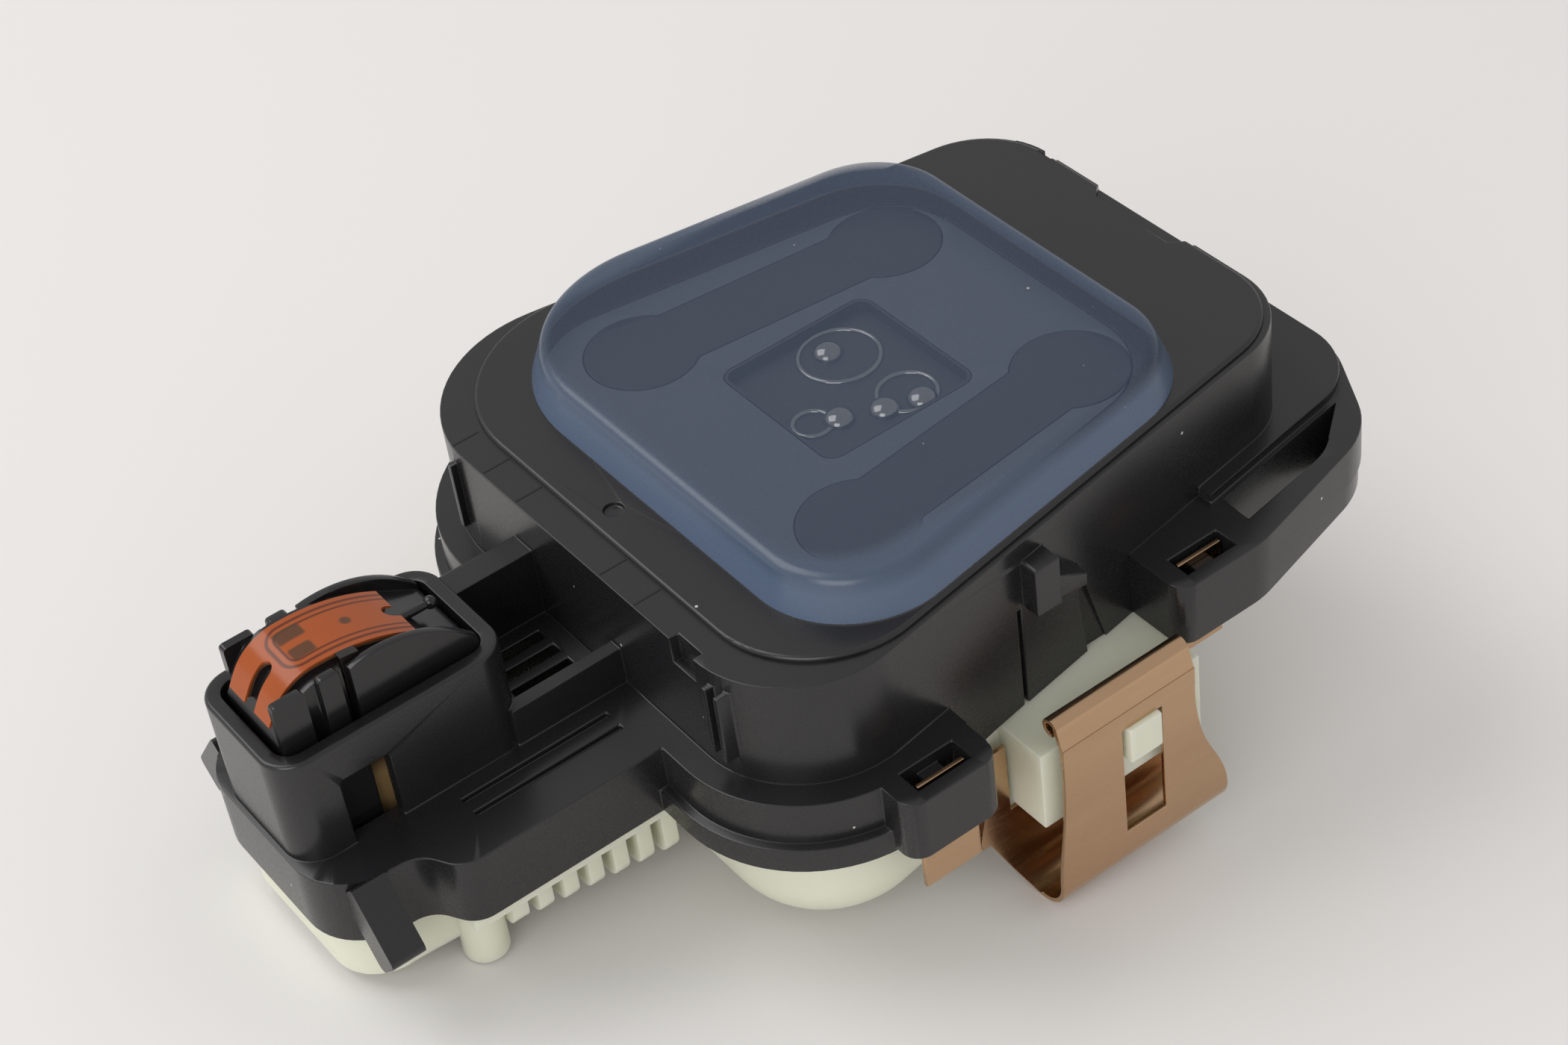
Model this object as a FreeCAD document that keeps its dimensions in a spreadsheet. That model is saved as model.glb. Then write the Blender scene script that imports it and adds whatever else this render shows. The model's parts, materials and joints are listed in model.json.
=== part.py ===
"""Windscreen sensor for rain, light and condensation, built piece by piece.

Sizes are millimetres. +Z points at the glass and the origin is the middle of the soft pad's
contact face. The nose with the condensation sensor points along -X.
"""
import FreeCAD, Part
import math
import os
from types import SimpleNamespace

import Sketcher
from FreeCAD import Vector

doc = FreeCAD.newDocument("windscreen_sensor")

SIZES = {
    # Soft pad on top of the tower
    "pad_height": 3.0,
    "pad_reach": 17.7,
    "pad_half": 19.7,
    "pad_radius": 7.5,
    "pad_back_radius": 11.5,
    "pad_slope": 20.0,
    "pad_edge": 0.9,
    # Tower: a rounded trapezoid that narrows away from the nose
    "side_taper": 0.16,
    "tower_nose": 23.8,
    "tower_tail": 26.9,
    "tower_half": 20.4,
    "tower_radius": 8.0,
    "tower_tail_radius": 6.5,
    "tower_back_radius": 10.5,
    "rim_step": 0.4,
    "rim_width": 0.4,
    "strip_width": 2.4,
    "shell_wall": 1.5,
    "roof": 1.8,
    "ledge_drop": 12.0,
    "skirt_drop": 17.4,
    "soft_edge": 0.3,
    # Flange round the nose end of the tower, in two tiers
    "flange_lip": 1.9,
    "low_lip": 0.7,
    "low_lip_height": 2.0,
    "flange_end": 9.9,
    # Flange at the far end, with its raised deck and crescent slot
    "tail_flange": 33.2,
    "tail_radius": 7.0,
    "tail_shoulder": 28.6,
    "tail_shoulder_side": 21.0,
    "tail_shoulder_radius": 7.0,
    "tail_face_half": 13.0,
    "seam_drop": 15.2,
    "seam_step": 0.15,
    "deck_margin": 0.3,
    "deck_radius": 6.0,
    "deck_lip": 1.2,
    "deck_step": 0.7,
    "crescent_width": 2.6,
    "crescent_start": 16.3,
    "crescent_end": 29.0,
    "crescent_margin": 0.4,
    # Fine marks on the tower's top and walls
    "strip_notch_side": 13.45,
    "strip_notch_width": 2.5,
    "strip_notch_depth": 2.1,
    "dimple_place": 19.5,
    "dimple_radius": 0.7,
    "dimple_depth": 0.3,
    "far_step_width": 1.5,
    "far_step_front": 4.2,
    "far_step_back": 3.4,
    "far_step_depth": 0.8,
    "edge_mark_side": 10.0,
    "rib_first": 16.25,
    "rib_second": 17.5,
    "rib_rear": 13.4,
    "rib_width": 0.5,
    "rib_high": 4.6,
    "rib_low": 10.2,
    "lug_place": -0.2,
    "lug_post": 2.1,
    "lug_wing": 2.7,
    "lug_high": 4.9,
    "lug_low": 8.9,
    "lug_foot": 0.5,
    "lug_reach": 1.8,
    "slit_width": 0.3,
    "slit_spread": 1.6,
    "slit_depth": 0.6,
    # Ears that hold the spring clips
    "nose_ear_place": 13.75,
    "nose_ear_side": 25.35,
    "tail_ear_place": 11.75,
    "tail_ear_side": 22.3,
    "ear_length": 7.5,
    "ear_wall": 1.1,
    "ear_radius": 1.4,
    "ear_lift": 0.4,
    "slot_length": 4.3,
    "slot_width": 1.95,
    "peg_length": 1.7,
    "peg_depth": 1.65,
    "peg_drop": 0.9,
    "peg_height": 1.5,
    # Nose base and its narrower tip
    "nose_tip": 49.0,
    "nose_half": 12.1,
    "tip_half": 9.0,
    "tip_length": 7.25,
    "tip_radius": 4.5,
    "notch_lean": 0.85,
    "notch_radius": 2.2,
    "foot_peg_place": 46.15,
    "foot_peg_width": 2.5,
    "foot_peg_thick": 2.0,
    "foot_peg_reach": 3.6,
    "foot_peg_sink": 0.8,
    "groove_side": 7.1,
    "groove_pitch": 1.5,
    "groove_width": 0.4,
    "groove_start": 37.8,
    "groove_end": 26.5,
    "ledge_thick": 1.4,
    # Box on the nose, with the plunger's shaft
    "box_tip": 48.7,
    "box_tail": 31.3,
    "box_half": 5.5,
    "box_wall": 1.1,
    "box_radius": 2.4,
    "box_drop": 3.5,
    "box_window": 3.6,
    "box_window_place": 43.0,
    "box_window_top": 6.5,
    # Tray between box and tower
    "tray_front_drop": 8.95,
    "tray_back_drop": 6.85,
    "tray_back_width": 2.2,
    "tray_depth": 12.4,
    "vent_count": 4,
    "vent_pitch": 1.8,
    "vent_width": 0.9,
    "vent_length": 4.6,
    # Window plate, light guides and lenses under the pad
    "window_reach": 16.2,
    "window_half": 16.6,
    "window_radius": 6.5,
    "window_thick": 1.2,
    "window_seat": 1.0,
    "guide_nose_place": 8.6,
    "guide_nose_side": 12.2,
    "guide_tail_place": 11.3,
    "guide_tail_side": 10.1,
    "guide_radius": 4.1,
    "guide_waist": 2.9,
    "lens_window_reach": 6.4,
    "lens_window_half": 6.4,
    "lens_window_radius": 1.2,
    "lens_sky_x": 0.2,
    "lens_sky_y": 2.6,
    "lens_sky_radius": 2.8,
    "lens_ahead_x": -4.7,
    "lens_ahead_y": -2.5,
    "lens_ahead_radius": 1.5,
    "lens_side_x": 0.8,
    "lens_side_y": -3.9,
    "lens_side_radius": 2.3,
    "fit_gap": 0.1,
    # Circuit board and what sits on it
    "board_drop": 11.2,
    "board_thick": 1.6,
    "board_gap": 0.4,
    "led_size": 3.0,
    "led_height": 1.1,
    "led_air": 0.3,
    "photo_chip": 2.1,
    "chip_place": -4.0,
    "chip_size": 7.0,
    "chip_height": 1.0,
    "lead_count": 6,
    "lead_pitch": 1.0,
    "lead_width": 0.4,
    "lead_thick": 0.2,
    "lead_reach": 0.9,
    "capacitor_place": 4.0,
    "capacitor_side": 11.0,
    "capacitor_radius": 2.4,
    "capacitor_height": 5.0,
    "regulator_place": 10.0,
    "regulator_side": 9.5,
    "regulator_size": 6.4,
    "regulator_height": 2.3,
    "flex_socket_place": 19.4,
    "flex_socket_length": 4.0,
    "flex_socket_half": 1.3,
    "flex_socket_height": 4.2,
    "flex_insert": 2.4,
    # Back cover
    "cover_wall": 1.5,
    "cover_drop": 27.5,
    "cover_edge": 5.2,
    "cover_inset": 0.3,
    "nose_plate": 1.5,
    "tip_plate_drop": 21.8,
    "fin_count": 7,
    "fin_pitch": 1.98,
    "fin_thick": 1.2,
    "fin_start": 37.0,
    "fin_drop_tip": 22.2,
    "fin_drop_tower": 24.1,
    "boss_place": 39.1,
    "boss_side": 8.0,
    "boss_radius": 1.6,
    "boss_drop": 24.3,
    "clip_block_reach": 25.3,
    "clip_block_drop": 24.2,
    "clip_block_half": 7.0,
    "socket_place": 14.0,
    "socket_length": 12.0,
    "socket_width": 6.4,
    "socket_depth": 9.0,
    "pin_pitch": 2.8,
    "pin_width": 0.64,
    "pin_reach": 4.2,
    "post_nose": 14.5,
    "post_nose_side": 15.0,
    "post_tail": 17.5,
    "post_tail_side": 10.5,
    "post_radius": 1.6,
    "nose_cover_margin": 0.9,
    "hook_width": 2.8,
    "hook_height": 3.0,
    "hook_reach": 0.6,
    # Spring clips
    "clip_place": 1.6,
    "sheet_thick": 0.35,
    "clip_side": 26.3,
    "leaf_top_place": 1.35,
    "leaf_top_half": 5.75,
    "leaf_low_place": 2.3,
    "leaf_low_half": 7.5,
    "clip_bottom": 32.0,
    "clip_shoulder": 16.9,
    "clip_roll": 0.75,
    "clip_roll_drop": 15.4,
    "clip_roll_inset": 1.1,
    "clip_window_half": 1.75,
    "clip_window_place": 2.4,
    "clip_window_top": 18.3,
    "clip_window_low": 28.0,
    "arm_air": 0.35,
    "arm_width": 2.65,
    "tab_width": 3.8,
    "tab_bar": 0.6,
    "peg_grip": 1.375,
    "peg_air": 0.25,
    "tail_drop": 21.5,
    "tail_ear_drop": 20.5,
    # Plunger with the condensation sensor
    "carrier_gap": 0.4,
    "carrier_foot": 1.2,
    "carrier_wing": 1.0,
    "carrier_deck": 5.2,
    "foot_play": 0.05,
    "travel": 2.0,
    "fin_wall": 0.65,
    "fin_crown": 0.35,
    "fin_radius": 8.6,
    "fin_slope": 45.0,
    "fin_shift": 0.4,
    "finger_gap": 1.05,
    "finger_wide": 2.3,
    "finger_narrow": 1.5,
    "finger_slot": 0.7,
    "finger_top": 0.4,
    "finger_rise": 0.1,
    "finger_round": 0.3,
    "rear_shift": 0.6,
    "rear_drop": 0.5,
    "film_crown": 0.6,
    "film_shift": 3.0,
    "film_left_radius": 4.0,
    "film_left_bend": 60.0,
    "film_right_radius": 13.0,
    "film_right_bend": 30.0,
    "crown_flat": 0.4,
    "film_straight": 1.0,
    "film_cut_left": 2.6,
    "film_cut_right": 6.6,
    "film_cut_half": 0.6,
    "well_radius": 2.7,
    "well_top": 7.4,
    "spring_radius": 2.1,
    "spring_wire": 0.45,
    "spring_turns": 5.0,
    "flex_half": 2.5,
    "flex_thick": 0.16,
    "cushion_thick": 0.4,
    "cushion_margin": 0.2,
    "chip_film": 2.0,
    "tail_width": 1.3,
    "lead_shift": 1.1,
    "ribbon_width": 1.6,
    "tail_side": 3.1,
    "ribbon_lift": 0.4,
}

sheet = doc.addObject("Spreadsheet::Sheet", "Sizes")
for row, (alias, number) in enumerate(SIZES.items(), start=1):
    sheet.set("A%d" % row, alias)
    sheet.set("B%d" % row, str(number))
    sheet.setAlias("B%d" % row, alias)
doc.recompute()


class Dim:
    """A size with the formula that ties it to the sheet."""

    def __init__(self, value, formula):
        self.value = float(value)
        self.formula = formula

    def __add__(self, other):
        other = dim(other)
        return Dim(self.value + other.value, "(%s + %s)" % (self.formula, other.formula))

    def __sub__(self, other):
        other = dim(other)
        return Dim(self.value - other.value, "(%s - %s)" % (self.formula, other.formula))

    def __mul__(self, other):
        other = dim(other)
        return Dim(self.value * other.value, "(%s * %s)" % (self.formula, other.formula))

    def __truediv__(self, other):
        other = dim(other)
        return Dim(self.value / other.value, "(%s / %s)" % (self.formula, other.formula))

    def __neg__(self):
        return Dim(-self.value, "(-1 * %s)" % self.formula)

    def __radd__(self, other):
        return dim(other) + self

    def __rsub__(self, other):
        return dim(other) - self

    def __rmul__(self, other):
        return dim(other) * self


def dim(number):
    """A plain number as a size of its own."""
    if isinstance(number, Dim):
        return number
    return Dim(number, "(%r)" % float(number))


s = SimpleNamespace(**{alias: Dim(sheet.get(alias), "Sizes." + alias) for alias in SIZES})

PLANES = {"Z": "XY_Plane", "Y": "XZ_Plane", "X": "YZ_Plane"}


def corner_arc(before, corner, after, radius):
    """Start, middle and end of the arc that rounds one corner of an outline."""
    to_before = (before - corner).normalize()
    to_after = (after - corner).normalize()
    half_angle = to_before.getAngle(to_after) / 2
    inward = (to_before + to_after).normalize()
    reach = radius / math.tan(half_angle)
    centre = corner + inward * (radius / math.sin(half_angle))
    return corner + to_before * reach, centre - inward * radius, corner + to_after * reach


def outline(body, name, axis, offset, corners, radii):
    """Sketch a closed outline whose corners and rounding radii follow the sheet."""
    sketch = body.newObject("Sketcher::SketchObject", name)
    plane = [item for item in body.Origin.OriginFeatures if item.Role == PLANES[axis]][0]
    sketch.AttachmentSupport = [(plane, "")]
    sketch.MapMode = "FlatFace"
    sketch.setExpression("AttachmentOffset.Base.z", offset.formula)
    count = len(corners)
    corners = [(dim(x), dim(y)) for x, y in corners]
    spots = [Vector(x.value, y.value, 0) for x, y in corners]
    ends = []
    for index, radius in enumerate(radii):
        if radius is None:
            ends.append((spots[index], None, spots[index]))
        else:
            ends.append(corner_arc(spots[index - 1], spots[index], spots[(index + 1) % count], radius.value))
    constraints = []
    bindings = []

    def tie(kind, *references):
        """Add a constraint, bound to a size where one is given last."""
        if isinstance(references[-1], Dim):
            bindings.append((len(constraints), references[-1].formula))
            references = references[:-1] + (references[-1].value,)
        constraints.append(Sketcher.Constraint(kind, *references))

    lines = []
    for index in range(count):
        run = Part.LineSegment(ends[index][2], ends[(index + 1) % count][0])
        lines.append(sketch.addGeometry(run, False))
    for index, (x, y) in enumerate(corners):
        arriving, leaving = lines[index - 1], lines[index]
        if radii[index] is None:
            tie("Coincident", arriving, 2, leaving, 1)
            tie("DistanceX", -1, 1, leaving, 1, x)
            tie("DistanceY", -1, 1, leaving, 1, y)
            continue
        start, middle, end = ends[index]
        turns_left = (spots[index] - start).cross(end - spots[index]).z > 0
        sweep = (start, middle, end) if turns_left else (end, middle, start)
        arc = sketch.addGeometry(Part.Arc(*sweep), False)
        first, last = (1, 2) if turns_left else (2, 1)
        point = sketch.addGeometry(Part.Point(spots[index]), True)
        tie("Tangent", arriving, 2, arc, first)
        tie("Tangent", arc, last, leaving, 1)
        tie("Radius", arc, radii[index])
        tie("DistanceX", -1, 1, point, 1, x)
        tie("DistanceY", -1, 1, point, 1, y)
        tie("PointOnObject", point, 1, arriving)
        tie("PointOnObject", point, 1, leaving)
    sketch.addConstraint(constraints)
    for index, formula in bindings:
        sketch.setExpression("Constraints[%d]" % index, formula)
    return sketch


def pad(body, name, corners, radii, low, high, axis="Z", slope=None):
    """Add material between two levels of an axis, inside an outline."""
    low, high = dim(low), dim(high)
    offset = -high if axis == "Y" else low
    feature = body.newObject("PartDesign::Pad", name)
    feature.Profile = outline(body, name + "_outline", axis, offset, corners, radii)
    feature.setExpression("Length", (high - low).formula)
    feature.Refine = False
    if slope is not None:
        feature.setExpression("TaperAngle", slope.formula)
    return feature


def pocket(body, name, corners, radii, low, high, axis="Z"):
    """Remove material between two levels of an axis, inside an outline."""
    low, high = dim(low), dim(high)
    offset = -low if axis == "Y" else high
    feature = body.newObject("PartDesign::Pocket", name)
    feature.Profile = outline(body, name + "_outline", axis, offset, corners, radii)
    feature.setExpression("Length", (high - low).formula)
    feature.Refine = False
    return feature


def rectangle(x_low, x_high, y_low, y_high):
    """Corners of a rectangle, counter-clockwise."""
    return [(x_low, y_low), (x_high, y_low), (x_high, y_high), (x_low, y_high)]


def trapezoid(nose, tail, half):
    """Corners of an outline with the tower's side taper; half is its half width at x = 0."""
    nose_half = half + s.side_taper * nose
    tail_half = half - s.side_taper * tail
    return [(-nose, -nose_half), (tail, -tail_half), (tail, tail_half), (-nose, nose_half)]


def fillet(body, name, base, radius, wanted):
    """Round the edges of a body's latest feature that the given test accepts."""
    doc.recompute()
    names = ["Edge%d" % (index + 1) for index, edge in enumerate(base.Shape.Edges) if wanted(edge)]
    feature = body.newObject("PartDesign::Fillet", name)
    feature.Base = (base, names)
    feature.setExpression("Radius", radius.formula)
    return feature


def at_level(level, tolerance=0.01):
    """Test for edges that lie flat at one height."""
    def test(edge):
        box = edge.BoundBox
        return abs(box.ZMin - level.value) < tolerance and abs(box.ZMax - level.value) < tolerance
    return test


def new_body(label):
    """An empty body for one sub-part."""
    body = doc.addObject("PartDesign::Body", label)
    body.Label = label
    return body


def solid_piece(label, shape):
    """A sub-part whose shape is set directly."""
    piece = doc.addObject("Part::Feature", label)
    piece.Label = label
    piece.Shape = shape
    return piece


SHARP4 = [None] * 4


def rounded4(radius):
    """The same radius on all four corners."""
    return [radius] * 4


def tower_radii(growth=0.0):
    """Corner radii of the tower's outline, grown or shrunk with the outline."""
    growth = dim(growth)
    tail = s.tower_tail_radius + growth
    return [s.tower_radius + growth, tail, tail, s.tower_back_radius + growth]


# Levels that several pieces share
plateau = -s.pad_height
strip = plateau - s.rim_step
roof_low = plateau - s.roof
ledge = -s.ledge_drop
skirt = -s.skirt_drop
cavity_top = ledge - s.ledge_thick
cover_top = skirt

# Places that several pieces share
shaft_tip = -(s.box_tip - s.box_wall)
shaft_tail = -(s.box_tail + s.box_wall)
shaft_half = s.box_half - s.box_wall
tip_end = -(s.nose_tip - s.tip_length)


def make_housing():
    """Black moulded shell: tower, flanges, ears, and the nose with its box and tray."""
    body = new_body("housing")
    tower = trapezoid(s.tower_nose, s.tower_tail, s.tower_half)
    pad(body, "tower", tower, tower_radii(), skirt, strip)
    inset = s.rim_width
    face = pad(body, "plateau_face",
               trapezoid(s.tower_nose - s.strip_width, s.tower_tail - inset, s.tower_half - inset),
               tower_radii(), strip, plateau)
    fillet(body, "plateau_edge", face, s.soft_edge, at_level(plateau))
    add_flanges(body)
    add_nose(body)
    hollow_out(body)
    add_ears(body)
    add_face_details(body)
    add_wall_details(body)
    return body


def add_flanges(body):
    """Two-tier flange round the nose end and the wide flange with its deck at the far end."""
    for name, lip, top in (("nose_flange", s.flange_lip, ledge),
                           ("nose_flange_foot", s.flange_lip + s.low_lip, skirt + s.low_lip_height)):
        radii = tower_radii(lip)
        pad(body, name, trapezoid(s.tower_nose + lip, -s.flange_end, s.tower_half + lip),
            [radii[0], None, None, radii[3]], skirt, top)
    ear_low, ear_high = about(s.tail_ear_place, s.ear_length)
    ear_face = s.tail_ear_side + s.slot_width / 2 + s.ear_wall
    seam = -s.seam_drop
    for name, shrink, low, high in (("tail_flange_plate", dim(0), seam, ledge),
                                    ("tail_flange_skirt", s.seam_step, skirt, seam)):
        near = [(ear_low + shrink, shrink - ear_face), (ear_high, shrink - ear_face),
                (s.tail_shoulder - shrink, shrink - s.tail_shoulder_side),
                (s.tail_flange - shrink, shrink - s.tail_face_half)]
        far = [(x, -y) for x, y in reversed(near)]
        radii = [s.ear_radius, s.tail_radius, s.tail_shoulder_radius, s.tail_radius]
        pad(body, name, near + far, radii + radii[::-1], low, high)
    deck = trapezoid(-ear_high, s.tail_flange - s.deck_margin, s.tower_half + s.deck_lip)
    pad(body, "tail_deck", deck, [None, s.deck_radius, s.deck_radius, None], ledge, ledge + s.deck_step)


def add_nose(body):
    """Nose base with its narrower tip, the box for the plunger, and the tray's two rails."""
    base_end = -s.tower_nose + s.shell_wall
    base = [(-s.nose_tip, -s.tip_half), (tip_end - s.notch_lean, -s.tip_half),
            (tip_end + s.notch_lean, -s.nose_half), (base_end, -s.nose_half)]
    mirrored = [(x, -y) for x, y in reversed(base)]
    radii = [s.tip_radius, s.notch_radius, s.notch_radius, None]
    pad(body, "nose_base", base + mirrored, radii + radii[::-1], skirt, ledge)
    box = pad(body, "nose_box", rectangle(-s.box_tip, -s.box_tail, -s.box_half, s.box_half), rounded4(s.box_radius),
              ledge, -s.box_drop)
    fillet(body, "box_edge", box, s.soft_edge, at_level(-s.box_drop))
    pad(body, "tray_front_rail", rectangle(-s.box_tail - s.box_wall, base_end, -s.box_half, -shaft_half), SHARP4,
        ledge, -s.tray_front_drop)
    pad(body, "tray_back_rail",
        rectangle(-s.box_tail - s.box_wall, base_end, shaft_half, shaft_half + s.tray_back_width), SHARP4,
        ledge, -s.tray_back_drop)
    top_side, low_side = s.tip_half, s.tip_half + s.foot_peg_reach
    top, low = ledge + s.soft_edge, skirt - s.foot_peg_sink
    for side in (-1, 1):
        corners = [((top_side - s.foot_peg_thick) * side, top - s.foot_peg_thick), (top_side * side, top),
                   (low_side * side, low + s.foot_peg_thick), ((low_side - s.foot_peg_thick) * side, low)]
        x_low, x_high = about(-s.foot_peg_place, s.foot_peg_width)
        pad(body, "foot_peg_%d" % (side + 1), corners, [None, s.soft_edge, s.soft_edge * 2, s.soft_edge * 2],
            x_low, x_high, axis="X")


def hollow_out(body):
    """Cavities under the tower and the nose, the plunger's shaft, vents and windows."""
    wall = s.shell_wall
    pocket(body, "tower_cavity", trapezoid(s.tower_nose - wall, s.tower_tail - wall, s.tower_half - wall),
           tower_radii(-wall), skirt, roof_low)
    seat = s.window_seat
    pocket(body, "window_recess", trapezoid(s.window_reach, s.window_reach, s.window_half),
           rounded4(s.window_radius), plateau - s.window_thick, plateau)
    pocket(body, "window_opening", trapezoid(s.window_reach - seat, s.window_reach - seat, s.window_half - seat),
           rounded4(s.window_radius - seat), roof_low, plateau)
    base_end = -s.tower_nose + wall * 2
    narrow = s.tip_half - wall
    wide = s.nose_half - wall
    step = tip_end + s.notch_lean + wall
    inner = [(-s.nose_tip + wall, -narrow), (step, -narrow), (step, -wide), (base_end, -wide)]
    mirrored = [(x, -y) for x, y in reversed(inner)]
    inner_round = s.tip_radius - wall
    pocket(body, "nose_cavity", inner + mirrored,
           [inner_round, None, None, None, None, None, None, inner_round], skirt, cavity_top)
    pocket(body, "plunger_shaft", rectangle(shaft_tip, shaft_tail, -shaft_half, shaft_half),
           rounded4(s.box_radius - s.box_wall), cavity_top, -s.box_drop)
    pocket(body, "tray_hollow", rectangle(-s.box_tail, -s.tower_nose, -shaft_half, shaft_half), SHARP4,
           -s.tray_depth, -s.tray_back_drop)
    middle = (s.box_tail + s.tower_nose) / 2
    vents = int(s.vent_count.value)
    for index in range(vents):
        side = s.vent_pitch * (index - (vents - 1) / 2)
        x_low, x_high = about(-middle, s.vent_length)
        y_low, y_high = about(side, s.vent_width)
        pocket(body, "vent_%d" % (index + 1), rectangle(x_low, x_high, y_low, y_high), SHARP4,
               cavity_top, -s.tray_depth)
    x_low, x_high = about(-s.box_window_place, s.box_window)
    pocket(body, "lead_window", rectangle(x_low, x_high, ledge, -s.box_window_top),
           [None, None, s.soft_edge, s.soft_edge], -s.box_half, -shaft_half, axis="Y")


def add_ears(body):
    """Ears beside the nose flange, then the slots with their pegs and the crescent slots."""
    ear_face = s.nose_ear_side + s.slot_width / 2 + s.ear_wall
    for side in (-1, 1):
        rear = "front" if side < 0 else "rear"
        x_low, x_high = about(-s.nose_ear_place, s.ear_length)
        y_in, y_out = (s.tower_half + s.side_taper * s.nose_ear_place - s.shell_wall / 2) * side, ear_face * side
        corners = [(x_low, y_out), (x_high, y_out), (x_high, y_in), (x_low, y_in)]
        pad(body, "ear_" + rear, corners, [s.ear_radius, s.ear_radius, None, None], skirt + s.ear_lift, ledge)
        for end, place_x, lateral in (("nose", -s.nose_ear_place, s.nose_ear_side),
                                      ("tail", s.tail_ear_place, s.tail_ear_side)):
            y_mid = lateral * side
            x_low, x_high = about(place_x, s.slot_length)
            y_low, y_high = about(y_mid, s.slot_width)
            pocket(body, "clip_slot_%s_%s" % (end, rear), rectangle(x_low, x_high, y_low, y_high), SHARP4,
                   skirt, ledge)
            root = -1 if end == "nose" else 1
            y_root = (lateral + s.slot_width / 2 * root) * side
            y_end = (lateral + (s.slot_width / 2 - s.peg_depth) * root) * side
            y_low, y_high = sorted((y_root, y_end), key=lambda spot: spot.value)
            x_low, x_high = about(place_x, s.peg_length)
            pad(body, "clip_peg_%s_%s" % (end, rear), rectangle(x_low, x_high, y_low, y_high), SHARP4,
                ledge - s.peg_drop - s.peg_height, ledge - s.peg_drop)
        line = s.tower_half + s.deck_lip + s.crescent_margin
        start, stop = s.crescent_start, s.crescent_end
        belly = (start + stop * 2) / 3
        crescent = [(start, (line - s.side_taper * start) * side), (stop, (line - s.side_taper * stop) * side),
                    (belly, (line - s.side_taper * belly + s.crescent_width) * side),
                    (start, (line - s.side_taper * start + s.crescent_width) * side)]
        pocket(body, "crescent_" + rear, crescent, [None, None, s.crescent_width * 2, None], skirt, ledge)


def add_face_details(body):
    """Fine marks on the top face: strip notch, dimple, and the step at the far edge."""
    y_low, y_high = about(-s.strip_notch_side, s.strip_notch_width)
    pocket(body, "strip_notch",
           rectangle(-s.tower_nose - s.flange_lip, s.shell_wall / 2 - s.tower_nose, y_low, y_high), SHARP4,
           strip - s.strip_notch_depth, plateau)
    cylinder(body, "dimple", "Subtractive", -s.dimple_place, dim(0), s.dimple_radius,
             plateau - s.dimple_depth, plateau)
    edge = s.tower_tail + s.fit_gap
    step = s.tower_tail - s.far_step_width
    corners = [(step, -s.far_step_front), (edge, -s.far_step_front - s.far_step_width),
               (edge, s.far_step_back + s.far_step_width), (step, s.far_step_back)]
    pocket(body, "far_step", corners, SHARP4, plateau - s.far_step_depth, plateau)
    y_low, y_high = about(s.edge_mark_side, s.far_step_width)
    pocket(body, "edge_mark", rectangle(s.tower_tail - s.far_step_width / 2, edge, y_low, y_high), SHARP4,
           plateau - s.far_step_depth, plateau)


def add_wall_details(body):
    """Ribs on the nose wall, grooves on the nose ledge, and the latch lug on the front wall with its slits."""
    for name, side in (("first", -s.rib_first), ("second", -s.rib_second), ("rear", s.rib_rear)):
        y_low, y_high = about(side, s.rib_width)
        pad(body, "nose_rib_" + name, rectangle(y_low, y_high, -s.rib_low, -s.rib_high), SHARP4,
            -s.tower_nose - s.rib_width, -s.tower_nose + s.shell_wall / 2, axis="X")
    for name, side in (("inner", s.groove_side), ("outer", s.groove_side + s.groove_pitch)):
        y_low, y_high = about(-side, s.groove_width)
        pocket(body, "ledge_groove_" + name, rectangle(-s.groove_start, -s.groove_end, y_low, y_high), SHARP4,
               ledge - s.groove_width, ledge)
    wall_out, wall_in = -s.tower_half - s.lug_reach, -s.tower_half + s.shell_wall / 2
    left, middle, right = s.lug_place - s.lug_post, s.lug_place, s.lug_place + s.lug_wing
    pad(body, "latch_post", rectangle(left, middle, -s.lug_low, -s.lug_high), [None, None, None, s.soft_edge],
        wall_out, wall_in, axis="Y")
    wing = [(middle, -s.lug_low - s.lug_foot), (right, -s.lug_low - s.lug_foot), (right, -s.lug_low + s.lug_foot),
            (middle, -s.lug_high - s.lug_post)]
    pad(body, "latch_wing", wing, SHARP4, wall_out + s.lug_reach / 3, wall_in, axis="Y")
    slit = s.slit_width
    for name, place_x, spread in (("left", left - slit * 2, dim(0)), ("right", right + slit / 2, s.slit_spread)):
        corners = [(place_x + spread / 2, skirt), (place_x + slit + spread * 1.5, skirt),
                   (place_x + slit, -s.lug_low), (place_x, -s.lug_low)]
        surface = s.side_taper * place_x - s.tower_half
        pocket(body, "latch_slit_" + name, corners, SHARP4, surface - s.slit_depth, surface + s.slit_depth,
               axis="Y")


def make_coupling_pad():
    """Soft pad that couples the optics to the glass, with leaning sides and a rounded edge."""
    body = new_body("coupling_pad")
    block = pad(body, "pad_block", trapezoid(s.pad_reach, s.pad_reach, s.pad_half),
                [s.pad_radius, s.pad_radius, s.pad_radius, s.pad_back_radius], plateau, dim(0), slope=-s.pad_slope)
    fillet(body, "pad_rounding", block, s.pad_edge, at_level(dim(0)))
    return body


def place(item, x, y, z):
    """Tie an item's position to the sheet."""
    for letter, spot in zip("xyz", (x, y, z)):
        item.setExpression("Placement.Base." + letter, dim(spot).formula)


def cylinder(body, name, kind, x, y, radius, low, high):
    """Add or remove an upright cylinder; kind is Additive or Subtractive."""
    feature = body.newObject("PartDesign::%sCylinder" % kind, name)
    feature.setExpression("Radius", dim(radius).formula)
    feature.setExpression("Height", (dim(high) - dim(low)).formula)
    feature.Refine = False
    place(feature, x, y, low)
    return feature


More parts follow.
